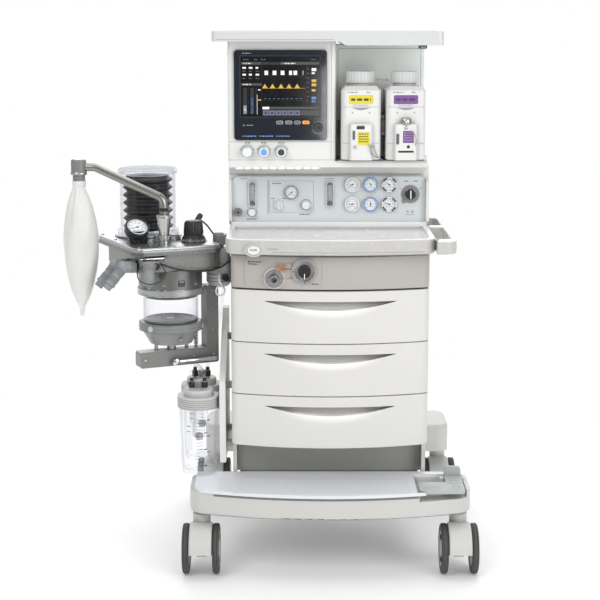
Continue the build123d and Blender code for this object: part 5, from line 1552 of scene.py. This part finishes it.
# ---- Suction -------------------------------------------------------------------------------------
def suction_details():
    """Graduations, floats, posts, caps, gauge ring and tubes of the two suction jars."""
    prints = Prints("suction")
    for index, y in enumerate((-160.0, -25.0)):
        def place(t, z, d, y=y):
            r = (47 + 5 * (z - 236) / 172 + 0.25 - d) * MM
            return col(-347, y, z) + Vector((r * sin(t / 50.0), -r * cos(t / 50.0), 0))
        for i in range(15):
            long = i % 5 == 0
            prints.bar(-4, 14 if long else 6, 256 + 9 * i, 256.9 + 9 * i, place, "ink", depth=0.35)
            if long:
                prints.text_line(17, 26, 256.5 + 9 * i, 3.0, place, "ink")
        prints.bar(-34, -14, 300, 372, place, "paper", r=2.5, depth=0.35)
        prints.text_line(-31, -18, 364, 2.4, place, "ink_light")
        prints.text_line(-31, -20, 350, 2.4, place, "ink_light")
        turned(f"jar_float_{index}", col(-347, y, 408), -UP,
               [(0, 13), (46, 13), (46, 16.5), (80, 16.5), (86, 10)], M["tube_clear"], count=32)
        turned(f"jar_ball_{index}", col(-347, y, 336), -UP,
               [(0, 3), (3, 9), (10, 11.5), (18, 9), (21, 3)], M["trim"], count=28)
        collar = bmesh.new()
        for k in range(5):
            torus(collar, col(-347, y, 411 + 5.6 * k), UP, 55.2, 0.9, 72, 8)
        piece_from(f"jar_lid_rings_{index}", collar, M["ink_light"])
        turned(f"jar_cap_{index}", col(-347, y + 16, 456.5), UP,
               [(0, 13), (3, 13), (4, 10), (15, 10), (17, 8.5)], M["trim"], count=32)
        lid_posts = bmesh.new()
        for side in (-1, 1):
            base = col(-347 + side * 17, y - 8, 477)
            lathe(lid_posts, base, UP, [(-16, 7.4), (-14, 8.4), (-2, 8.4), (0, 7.4), (0, 5.2), (9, 5.0),
                                        (9.5, 4.4)], 28)
        piece_from(f"jar_ports_{index}", lid_posts, M["black"])
    prints.done()
    wire("suction_tube_link", [col(-330, -168, 486), col(-331, -165, 494), col(-338, -130, 499),
                               col(-352, -80, 499), col(-362, -42, 495), col(-364, -33, 486)], 5.0,
                               M["tube_clear"])
    wire("suction_tube_patient", [col(-364, -168, 486), col(-364, -168, 500), col(-364, -166, 508)], 5.0,
         M["tube_clear"])
    wire("suction_tube_supply", [col(-330, -33, 486), col(-328, -22, 503), col(-318, 14, 540),
                                 col(-302, 42, 600), col(-288, 58, 690), col(-276, 64, 740),
                                 col(-262, 66, 748)], 5.0, M["tube_clear"])
    turned("supply_nipple", col(-257, 66, 748), LEFT, [(-1, 10), (3, 10), (4, 7), (10, 6.4), (11, 5)],
           M["steel"])
    bolts = [col(-290, y, z) for y, z in ((-130, 300), (30, 300), (-130, 460), (30, 560))]
    screw_piece("rail_bolts", bolts, LEFT, 5.0)
    slots = bmesh.new()
    for y in (-160.0, -25.0):
        bevel_box(slots, col(-294, y - 22, 404), col(-289.6, y + 22, 446), 1.2)
    piece_from("jar_hooks", slots, M["trim_dark"])


# ---- Breathing system ----------------------------------------------------------------------------
SYSTEM = "breathing_system"


def breathing_details():
    """Port domes, latch window, tie rods, hose ring, plug, cables, catches and screws."""
    dome_u, dome_v = -140.0, 163.0
    for index, (u, v) in enumerate(((-176.0, 44.0), (-104.0, 62.0))):
        turned(f"valve_ring_{index}", swung(u, v, 840), UP,
               [(-0.5, 18.5), (3, 18.5), (4, 17.5), (8, 17.5), (9, 16.5)], M["cast"], SYSTEM, count=60,
               wobble=knurl(0.025, 20, 3.5, 8.5))
        turned(f"valve_dome_{index}", swung(u, v, 849), UP,
               [(0, 15.6), (4, 15.4), (9, 13.6), (13, 10.6), (16, 6.4), (17.2, 2.0)], M["clear"], SYSTEM,
               count=40, angle=50)
        turned(f"valve_disc_{index}", swung(u, v, 852.5), UP, [(0, 9.5), (1.0, 9.5), (1.3, 9.0)],
               M["paper"], SYSTEM, count=32)
    turned("dome_seat_ring", swung(dome_u, dome_v, 840), UP,
           [(-0.5, 90), (4.5, 90), (6.0, 88.5), (6.2, 85)], M["cast"], SYSTEM, count=80,
           wobble=knurl(0.006, 36, -1, 5))
    turned("dome_lid_rim", swung(dome_u, dome_v, 1024), UP,
           [(-13, 79.6), (-12, 80.4), (-5, 80.4), (-4, 79.0), (0.2, 76.0), (0.6, 70)], M["clear"], SYSTEM,
           count=96)
    turned("dome_lid_knob", swung(dome_u, dome_v, 1024.2), UP,
           [(0, 12), (2, 12), (3, 8), (6, 8), (7, 6.5)], M["clear"], SYSTEM, count=32)
    prints = Prints("dome_scale")
    for start in (2.55, 4.55):
        def place(t, z, d, start=start):
            r = (75.3 - d) * MM
            angle = start + t / 75.0
            return swung(dome_u, dome_v, z) + around(angle) * r
        for i in range(25):
            long = i % 5 == 0
            prints.bar(0, 9 if long else 5, 872 + 5.4 * i, 872.8 + 5.4 * i, place, "ink", SYSTEM, depth=0.3)
            if long:
                prints.text_line(11, 18, 872.4 + 5.4 * i, 3.2, place, "ink", SYSTEM)
    prints.done()
    edge = bmesh.new()
    for z, inset in ((824.5, 0.0), (834.0, 2.0)):
        outline = rounded_outline(inset - 262.2, -18 - 0.9 * inset, inset - 80.2, 250 - inset, 25)
        prism(edge, outline, lambda a, b, d, z=z: swung(a, b, z - d), 0.7)
    piece_from("plate_seams", edge, M["ink"], SYSTEM)
    corners = ((-246, -64), (-150, -66), (-34, -64), (-248, 120), (-34, 120), (-34, 236), (-246, 236))
    screw_piece("plate_screws", [swung(u, v, 840) for u, v in corners], UP, 4.0, SYSTEM)
    front_of_block()
    canister_details()
    airway_gauge_details()
    apl_details()
    arm_details()
    bellows_details()
    breathing_cables()
    hub_details()
    elbow_rings()


def front_of_block():
    """Socket, water trap cup, chrome tie bar and the latch window under the plate's front edge."""
    out = -ALONG_V
    turned("front_socket", swung(-205, -62, 792), out,
           [(-2, 16), (6, 16), (7, 14.5), (16, 14.5), (17, 13.5), (17, 9), (8, 8.6)], M["bracket"],
           SYSTEM)
    turned("front_tie_bar", swung(-246, -72, 812), ALONG_U, [(0, 3.6), (1, 4.4), (70, 4.4), (71, 3.6)],
           M["chrome"], SYSTEM)
    for k, u in enumerate((-240, -182)):
        turned(f"tie_nut_{k}", swung(u, -72, 812), ALONG_U, [(0, 7.4), (7, 7.4)], M["steel"], SYSTEM,
               count=6)
    turned("cup_collar", swung(-228, -84, 796), UP,
           [(-4, 18.6), (-2, 19.2), (8, 19.2), (10, 18.4), (12.5, 15)], M["bracket"], SYSTEM)
    turned("cup_drain", swung(-228, -84, 746), -UP, [(-1, 9), (3, 8), (4, 4.5), (10, 4), (11, 2.8)],
           M["elbow"], SYSTEM)
    window = bmesh.new()

    def round_head(a, b, d):
        """Round the canister head: a along the arc, b up."""
        t = a / 84.0
        r = (84.4 - d) * MM
        return swung(-132, 18, b) + (ALONG_U * sin(t) - ALONG_V * cos(t)) * r
    outline = rounded_outline(-14, 14, 728, 754, 4.0)
    prism(window, outline, round_head, 1.0, 0.3)
    piece_from("latch_window", window, M["bracket"], SYSTEM)
    marks = Prints("head_marks")
    marks.bar(-10, 10, 733, 749, lambda a, b, d: round_head(a, b, d - 0.5), "ink", SYSTEM, r=2.0, depth=0.5)
    marks.bar(-6, 6, 744, 747, lambda a, b, d: round_head(a, b, d - 0.9), "ink_light", SYSTEM, r=0.8,
              depth=0.5)
    for a in (-46, 46):
        marks.bar(a - 5, a + 5, 734, 738, lambda x, b, d: round_head(x, b, d), "ink_light", SYSTEM, r=1.0,
                  depth=0.5)
    marks.done()
    beads = bmesh.new()
    for z in (722.5, 707.0):
        torus(beads, swung(-132, 18, z), UP, 87.0 if z < 715 else 84.8, 0.9, 96, 8)
    piece_from("head_beads", beads, M["cast"], SYSTEM)


def canister_details():
    """Absorbent inside the jar, its top and bottom screens, clamp ears and drain cock."""
    body = "absorber_canister"
    mesh_rings = bmesh.new()
    for r in (16, 28, 40, 52, 63):
        torus(mesh_rings, swung(-132, 18, 637.6), UP, r, 1.0, 72, 8)
    for k in range(12):
        t = radians(30 * k)
        way = around(t)
        lathe(mesh_rings, swung(-132, 18, 637.6) + way * (12 * MM), way, [(0, 1.0), (54, 1.0)], 8)
    piece_from("canister_grid", mesh_rings, M["ink_light"], body)
    screens = bmesh.new()
    lathe(screens, swung(-132, 18, 696), UP, [(0, 69.4), (4, 69.4), (4.4, 66)], 72)
    lathe(screens, swung(-132, 18, 632), UP, [(0, 69.4), (5, 69.4), (5.4, 66)], 72)
    piece_from("canister_screens", screens, M["bracket"], body)
    rings = bmesh.new()
    for z, r in ((627.5, 84.3), (609.5, 84.3), (618.5, 84.6)):
        torus(rings, swung(-132, 18, z), UP, r, 0.8, 96, 8)
    piece_from("bowl_beads", rings, M["elbow"], body)
    for k, angle in enumerate((-150, -30, 90)):
        t = radians(angle)
        way = around(t)
        at = swung(-132, 18, 618.5) + way * (82 * MM)
        turned(f"bowl_clamp_{k}", at, way, [(0, 8), (3.0, 8), (4.0, 7), (4.2, 3)], M["bracket_light"], body)
    turned("drain_cock", swung(-132, 18, 590) + (-ALONG_V) * (62 * MM), -ALONG_V,
           [(-2, 6), (7, 6), (8, 4.4), (14, 4.0), (15, 3)], M["elbow"], body)
    turned("plunger_plate", swung(-132, 18, 567), UP, [(-1, 15.5), (3, 15.5), (4, 14.5)], M["steel"], body)
    coil = []
    for i in range(145):
        t = 2 * pi * i / 16
        coil.append(swung(-62 + 9 * cos(t) * 0.62, 18 + 9 * sin(t) * 0.62, 560 + 0.36 * i * 1.02))
    bm = bmesh.new()
    sweep(bm, coil, 1.2, 8)
    piece_from("return_spring", bm, M["steel"], SYSTEM, 60)
    turned("spring_rod", swung(-62, 18, 552), UP, [(-4, 4), (62, 4), (64, 3)], M["steel"], SYSTEM)
    plate("bracket_cap", rounded_outline(-226, -5, -1.0, 37.0, 3.0),
          lambda a, b, d: swung(a, b, 552.6 - d), 1.4, M["bracket_light"], SYSTEM, edge=0.3)
    bolts = bmesh.new()
    for u in (-212, -76, -20):
        screw_head(bolts, swung(u, -2.2, 531), -ALONG_V, 4.2)
    for z in (600, 660, 706):
        screw_head(bolts, swung(-21, -2.2, z), -ALONG_V, 3.6)
    piece_from("bracket_bolts", bolts, M["steel"], SYSTEM)
    turned("lever_knee_cap", swung(-132, -16, 524), -ALONG_V,
           [(-1, 10.5), (4, 10.5), (8.5, 8.5), (10, 5), (10.4, 2)], M["chrome"], "cam_lever")


def airway_gauge_details():
    """Tilted dial, graduations, needle and glass of the airway pressure gauge."""
    tilt = radians(42)
    normal = (-ALONG_V * sin(tilt) + UP * cos(tilt)).normalized()
    high = (ALONG_V * cos(tilt) + UP * sin(tilt)).normalized()
    centre = swung(-215, 42, 876)

    def place(x, z, d):
        return centre + ALONG_U * (x * MM) + high * (z * MM) + normal * ((7.4 - d) * MM)
    prints = Prints("airway_dial")
    prints.disc(0, 0, 27.2, place, "paper", SYSTEM, 0.6, 48)
    up = lambda x, z, d: place(x, z, d - 0.4)
    for i in range(41):
        long = i % 5 == 0
        prints.tick(0, 0, 18.5 if long else 21, 25, 225 - 6.75 * i, 0.9 if long else 0.45, up, "ink",
                    SYSTEM, 0.3)
        if long:
            t = radians(225 - 6.75 * i)
            cx, cz = 14.6 * cos(t), 14.6 * sin(t)
            prints.bar(cx - 1.6, cx + 1.6, cz - 1.1, cz + 1.1, up, "ink", SYSTEM, depth=0.3)
    prints.bar(-5, 5, -11, -9.4, up, "ink_light", SYSTEM, depth=0.3)
    needle = lambda x, z, d: place(x, z, d - 1.2)
    t = radians(192)
    way, side = Vector((cos(t), sin(t))), Vector((-sin(t), cos(t)))
    outline = [way * 22, side * 1.0 - way, side * 1.4 - way * 6, -side * 1.4 - way * 6, -side * 1.0 - way]
    prints.shape([(p.x, p.y) for p in outline], needle, "ink", SYSTEM, 0.4)
    prints.disc(0, 0, 2.6, needle, "ink", SYSTEM, 0.8)
    prints.done()
    turned("airway_gauge_rim", centre + normal * (9.0 * MM), normal,
           [(-16, 31.3), (-15, 32), (1.0, 32), (2.4, 30.8), (2.4, 28.0), (-3, 27.6)], M["black"], SYSTEM,
           count=72)
    turned("airway_gauge_glass", centre + normal * (9.6 * MM), normal,
           [(0, 28.0), (0.8, 28.0), (1.0, 27.0)], M["lens"], SYSTEM, count=48)


def apl_details():
    """Grip sleeve, scale on the skirt and the cap of the pressure limiting valve."""
    turned("apl_grip", swung(-72, 0, 861), UP,
           [(0, 25.2), (2, 25.6), (28, 23.4), (32, 22.2), (33.6, 20.2), (34, 8), (35.5, 7)], M["black"],
           "apl_knob", count=144, wobble=knurl(0.035, 24, 1.5, 31))
    prints = Prints("apl_scale")

    def skirt(t, z, d):
        r = (34.3 - (z - 841) * 4 / 11 - d) * MM
        angle = t / 32.0
        return swung(-72, 0, z) + (ALONG_U * sin(angle) - ALONG_V * cos(angle)) * r
    for i in range(-14, 15):
        prints.bar(i * 5 - 0.3, i * 5 + 0.3, 843, 847 if i % 2 else 849.5, skirt, "paper", "apl_knob",
                   depth=0.4)
    prints.done()
    turned("apl_seat", swung(-72, 0, 840), UP, [(-0.5, 38), (0.5, 38), (0.9, 36)], M["cast_dark"], SYSTEM)
    turned("lever_cap",
           swung(-62, 62, 852) + (ALONG_U * sin(radians(35)) + UP * cos(radians(35))) * (61 * MM),
           ALONG_U * sin(radians(35)) + UP * cos(radians(35)),
           [(-18, 7.0), (-4, 7.6), (0, 7.0), (2.6, 5.0), (3.4, 2.0)], M["black"], "bag_vent_lever")


def arm_details():
    """Clamp nut and collar on the arm's socket, ring and plug on the bag's connector."""
    foot = swung(-156, -5, 0)
    turned("socket_nut", foot + UP * 0.8495, UP, [(0, 17), (3, 17.6), (10, 17.6), (12, 16)], M["cast"],
           SYSTEM, count=60, wobble=knurl(0.03, 18, 2.5, 10.5))
    turned("socket_lip", foot + UP * 0.9145, UP, [(-1.5, 20.2), (0, 20.4), (1.2, 19.4), (1.2, 11.2)],
           M["spun"], SYSTEM)
    outline = arm_outline()
    sleeve = bmesh.new()
    sweep(sleeve, [Vector((foot.x + x * MM, foot.y, (858 + z) * MM)) for x, z in outline], 10.8, 28)
    piece_from("arm_sleeve", sleeve, M["tube_steel"], "bag_arm", 60)
    turned("arm_collar", foot + UP * 0.9262, UP, [(-1, 11.6), (1, 12.2), (7, 12.2), (8, 11.4), (8, 9.0)],
           M["black"], "bag_arm")
    bag = BAG
    top = Vector((bag.x, bag.y, 0))
    turned("connector_ring", top + UP * 1.021, UP, [(0, 21), (2, 21.8), (5, 21.8), (7, 20.6)], M["cast"],
           "bag_arm")
    turned("connector_cap", top + UP * 1.0596, UP, [(-1, 17), (1.4, 16), (2.4, 12)], M["cast"], "bag_arm")
    turned("bag_neck_band", top + UP * 1.000, UP, [(-1, 17.4), (1, 18.4), (3, 18.4), (5, 17.4)], M["bag"],
           "bag_arm")
    torus_piece("arm_band_low", foot + UP * 0.941, UP, 8.9, 0.7, M["steel"], "bag_arm")


def arm_outline():
    """Centre line of the bent arm above its collar, as (x, z) from the socket, bends rounded."""
    reach, rise, bend = 219.0, 182.0, 26.0
    corners = [Vector((0, 76)), Vector((0, 100)), Vector((42 - reach, rise)), Vector((6 - reach, rise))]
    corners[3].x = 18 - reach
    points = [corners[0]]
    for before, at, after in zip(corners, corners[1:], corners[2:]):
        u, v = (before - at).normalized(), (after - at).normalized()
        half = u.angle(v) / 2
        pull = min(bend / tan(half), (before - at).length * 0.95)
        start, end = at + u * pull, at + v * pull
        for i in range(9):
            t = i / 8
            points.append(start * (1 - t) ** 2 + at * (2 * t * (1 - t)) + end * t ** 2)
    points.append(corners[3])
    return [(p.x, p.y) for p in points]


def torus_piece(name, centre, axis, major, minor, material, body):
    bm = bmesh.new()
    torus(bm, centre, axis, major, minor)
    return piece_from(name, bm, material, body, 60)


def fold_depth(folds, t, width):
    """How deep the bag's creases run at angle t."""
    return sum(exp(-(remainder(t - at, 2 * pi) / width) ** 2) * deep for at, deep, _ in folds)


def hanging_bag():
    """Hanging reservoir bag: soft spindle, gathered at the neck, creased where it droops."""
    bag = BAG
    profile = [(1.003, 15.2), (0.992, 16.0), (0.980, 19.5), (0.962, 27.0), (0.935, 35.5), (0.900, 42.0),
               (0.862, 45.5), (0.822, 45.0), (0.784, 41.5), (0.748, 35.5), (0.716, 27.0), (0.692, 17.5),
               (0.678, 10.5), (0.668, 6.6), (0.655, 5.6), (0.650, 5.4)]
    knots = [Vector((z, r, 0)) for z, r in profile]
    curve = smooth_path(knots, 9)
    rng = random.Random(11)
    folds = [(rng.uniform(0, 6.28), rng.uniform(0.6, 1.0), rng.uniform(0.9, 1.3)) for _ in range(9)]
    bm = bmesh.new()
    rings = []
    count = 144
    for point in curve:
        z, r = point.x, point.y
        made = []
        gathered = max(0.0, min(1.0, (z - 0.86) / 0.13)) * (1 - max(0.0, (z - 0.992) / 0.011))
        tail = max(0.0, min(1.0, (0.76 - z) / 0.08)) * (1 - max(0.0, min(1.0, (0.675 - z) / 0.015)))
        for i in range(count):
            t = 2 * pi * i / count
            crease = fold_depth(folds, t, 0.16)
            low_crease = fold_depth(folds[::2], t - 0.5, 0.2)
            sag = 1 + 0.035 * sin(t - 0.6) * sin(pi * (z - 0.65) / 0.35)
            dent = -0.10 * exp(-((remainder(t - 5.1, 2 * pi)) / 0.5) ** 2 - ((z - 0.80) / 0.05) ** 2)
            dent += -0.07 * exp(-((remainder(t - 3.9, 2 * pi)) / 0.42) ** 2 - ((z - 0.90) / 0.035) ** 2)
            soft = 0.012 * sin(3 * t + 24 * z) + 0.008 * sin(7 * t - 40 * z)
            factor = sag + dent + soft - 0.13 * crease * gathered - 0.12 * low_crease * tail
            radius = r * factor * MM
            drift = Vector((0.0025 * sin(9 * (1.0 - z)), -0.002 * sin(7 * (1.0 - z)), 0))
            way = Vector((cos(t), sin(t), 0))
            made.append(bm.verts.new(Vector((bag.x, bag.y, z)) + drift + way * radius))
        rings.append(made)
    skin(bm, rings)
    piece = piece_from("soft_bag", bm, M["bag"], "bag_arm", 80)
    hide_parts("breathing_bag")
    torus_piece("bag_tail_loop", Vector((bag.x, bag.y, 0.6565)), UP, 6.2, 0.9, M["bag"], "bag_arm")
    turned("bag_cuff", Vector((bag.x, bag.y, 0.990)), UP,
           [(0, 16.6), (2, 17.6), (9, 17.6), (12, 17.2), (14, 16.4)], M["bag"], "bag_arm", count=72,
           wobble=lambda t, along: 0.01 * cos(36 * t))


def bellows_details():
    """The bellows' pleats, a copy of the CAD bellows riding rigidly on the breathing system, and the disc on
    top of them.
    """
    pleats = bmesh.new()
    pleats.from_mesh(NODES["bellows"].data)
    pleats.transform(NODES["bellows"].matrix_world)
    piece = piece_from("bellows_pleats", pleats, M["bellows"], SYSTEM, 40)
    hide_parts("bellows")
    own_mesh(piece)
    turned("bellows_top_disc", swung(-140, 163, 1004), UP,
           [(-1, 58), (0.6, 58), (1.4, 50), (1.4, 30), (3, 28), (3.4, 20)], M["bellows"], "bellows",
           count=64)


def elbow_rings():
    """Grip rings and hose rims of the two patient hose cones."""
    turn = radians(222)
    way = ALONG_U * sin(turn) + UP * cos(turn)
    rings = bmesh.new()
    for v, z in ((-40.0, 790.0), (28.0, 786.0)):
        knee = swung(-281, v, z)
        for along in (12, 17, 22, 34, 39, 44):
            torus(rings, knee + way * (along * MM), way, 13.0, 1.3, 48, 8)
        lathe(rings, knee + way * (50 * MM), way, [(0, 13.0), (1, 14.0), (7, 14.0), (8, 13.2)], 40,
              knurl(0.03, 12, 0.5, 7.5))
        for along in (-262, -254):
            torus(rings, swung(along, v, z), ALONG_U, 15.4, 1.2, 48, 8)
    piece_from("elbow_rings", rings, M["elbow"], SYSTEM)


def breathing_cables():
    """Sensor plugs, their cables and the sampling line at the front of the block."""
    turned("sensor_plug", swung(-56, 47, 840), UP,
           [(-0.5, 9), (10, 9), (11, 7.6), (22, 7.2), (24, 4.6), (30, 3.6)], M["black"], SYSTEM)
    wire("sensor_cable", [swung(-56, 47, 868), swung(-54, 44, 885), swung(-44, 30, 893),
                          swung(-28, 18, 880), swung(-12, 8, 856), swung(4, 0, 838), swung(26, -6, 826),
                          swung(34, 10, 800)], 2.2, M["cable"], SYSTEM)
    wire("front_cable", [swung(-196, -82, 800), swung(-160, -92, 786), swung(-110, -90, 776),
                         swung(-60, -76, 772), swung(-20, -58, 776), swung(6, -42, 784),
                         swung(26, -22, 792), swung(33, 6, 792)], 2.4, M["cable"], SYSTEM)
    wire("sample_loop", [swung(-240, -88, 800), swung(-262, -96, 784), swung(-258, -104, 762),
                         swung(-228, -108, 752), swung(-198, -104, 762), swung(-188, -96, 780),
                         swung(-192, -84, 796)], 1.5, M["cable"], SYSTEM)
    hook = [swung(-16, -40, 762), swung(-22, -54, 752), swung(-24, -62, 738), swung(-16, -60, 726),
            swung(-11, -50, 722), swung(-9, -40, 728)]
    wire("hose_hook", hook, 2.4, M["knob_white"], SYSTEM)
    torus_piece("hook_ring", swung(-18, -52, 712), ALONG_V, 12.5, 2.2, M["knob_white"], SYSTEM)


def hub_details():
    """Turned grooves, cap and locking screw of the swivel hub."""
    grooves = bmesh.new()
    for z, r in ((752.0, 34.2), (741.0, 34.2), (733.0, 34.2), (780.0, 31.9)):
        torus(grooves, swung(0, 0, z), UP, r, 0.8, 72, 8)
    piece_from("hub_rings", grooves, M["cast_dark"], SYSTEM)
    turned("hub_lock_screw", swung(0, -33, 745), -ALONG_V, [(-2, 6), (6, 6), (7, 9), (16, 9), (17, 8)],
           M["black"], SYSTEM)
    turned("post_cap", swung(0, 0, 856), UP, [(-0.5, 13), (2, 13), (3.4, 11.6), (3.6, 6)], M["trim_dark"])
    turned("hub_base_cap", swung(0, 0, 720), -UP, [(-0.5, 24), (2, 23), (3, 12), (6, 10)], M["steel"],
           SYSTEM)


# ---- Back of the machine -------------------------------------------------------------------------

def behind(y):
    """Placement for marks on a face towards +Y."""
    return lambda x, z, d: col(x, y - d, z)


def rear_details():
    """Screws, socket, cable, plates and plugs on the back covers."""
    screws = [col(x, 292, z) for x in (-246, 0, 246) for z in (238, 440, 560, 700, 854)]
    screws += [col(x, 292, z) for x in (-250, -4, 240) for z in (890, 1040, 1160, 1334)]
    screw_piece("rear_screws", screws, BACK, 3.6)
    prints = Prints("rear")
    back = behind(292.35)
    prints.bar(-180, -80, 470, 520, back, "paper", r=3.0)
    for i in range(5):
        prints.text_line(-172, -96, 512 - 8 * i, 2.6, behind(292.6), "ink_light")
    prints.bar(60, 130, 470, 510, back, "paper", r=3.0)
    for i in range(4):
        prints.text_line(67, 122, 502 - 8 * i, 2.6, behind(292.6), "ink_light")
    for x, ink in ((-150, "paper"), (-90, "label_blue"), (-30, "ink")):
        prints.bar(x - 16, x + 16, 806, 816, back, ink, r=2.0)
    for x, ink in ((-140, "paper"), (0, "paper"), (140, "label_blue")):
        prints.bar(x - 22, x + 22, 694, 706, back, ink, r=2.0)
    prints.frame(84, 156, 744, 806, 1.2, back, "ink_light", 5.0)
    prints.done()
    plate("mains_well", rounded_outline(103, 137, 760, 790, 6), behind(294.6), 1.2, M["black"], edge=0.4)
    pins = bmesh.new()
    for x, z in ((112, 770), (128, 770), (120, 780)):
        bevel_box(pins, col(x - 1.2, 292, z - 3.4), col(x + 1.2, 300, z + 3.4), 0.5)
    piece_from("mains_pins", pins, M["brass"])
    outlets = bmesh.new()
    for k in range(4):
        z = 905 + 26 * k
        prism(outlets, rounded_outline(-232, -196, z, z + 16, 3), behind(294.0), 2.4, 0.5)
    piece_from("data_ports", outlets, M["black"])
    for k, x in enumerate((-150.0, -90.0, -30.0)):
        cap = bmesh.new()
        for i in range(6):
            torus(cap, col(x, 303 + 2.3 * i, 780), BACK, 10.0, 0.6, 48, 8)
        piece_from(f"inlet_thread_{k}", cap, M["steel"])
        turned(f"inlet_nut_{k}", col(x, 292.4, 780), BACK, [(-0.5, 19.6), (7.0, 19.6), (8.0, 18.0)],
               M["steel"], count=6)
    for k, x in enumerate((-140.0, 0.0, 140.0)):
        turned(f"yoke_screw_{k}", col(x, 366, 640), BACK, [(-2, 7.0), (1, 7.6), (5, 7.6), (6, 6)], M["cast"])
        turned(f"yoke_washer_{k}", col(x, 299, 640), BACK,
               [(-0.5, 9.5), (2.4, 9.5), (3.0, 8.6), (3.0, 5.2)], M["black_rubber"])
    wire("mains_cable_clip", [col(170, 292, 730), col(170, 304, 722), col(170, 306, 706),
                              col(170, 292, 698)], 2.4, M["trim_dark"])
    handle = [col(-150, 291, 1290), col(-150, 326, 1294), col(-130, 338, 1296), col(0, 340, 1296),
              col(120, 338, 1296), col(140, 326, 1294), col(140, 291, 1290)]
    wire("rear_handle", handle, 8.0, M["trim"], count=20)
    wire("power_lead", [col(-196, 293, 913), col(-214, 306, 880), col(-226, 308, 820),
                        col(-228, 306, 600), col(-228, 306, 400), col(-214, 304, 330),
                        col(-200, 293, 310)], 3.2, M["cable"])


def rear_legs():
    """Bumper strips on the rear of the base."""
    block("rear_bumper", col(-300, 379, 190), col(300, 383, 208), 1.5, M["black_rubber"])


paint_base()
paint_cabinet()
paint_column()
paint_breathing()
screen_graphics()
display_keys()
knob_marks()
system_dish()
gauges()
flow_tubes()
lamp_strip()
bay_details()
shelf_details()
housing_details()
cabinet_details()
table_details()
base_details()
suction_details()
breathing_details()
hanging_bag()
rear_details()
rear_legs()
floor()
studio()
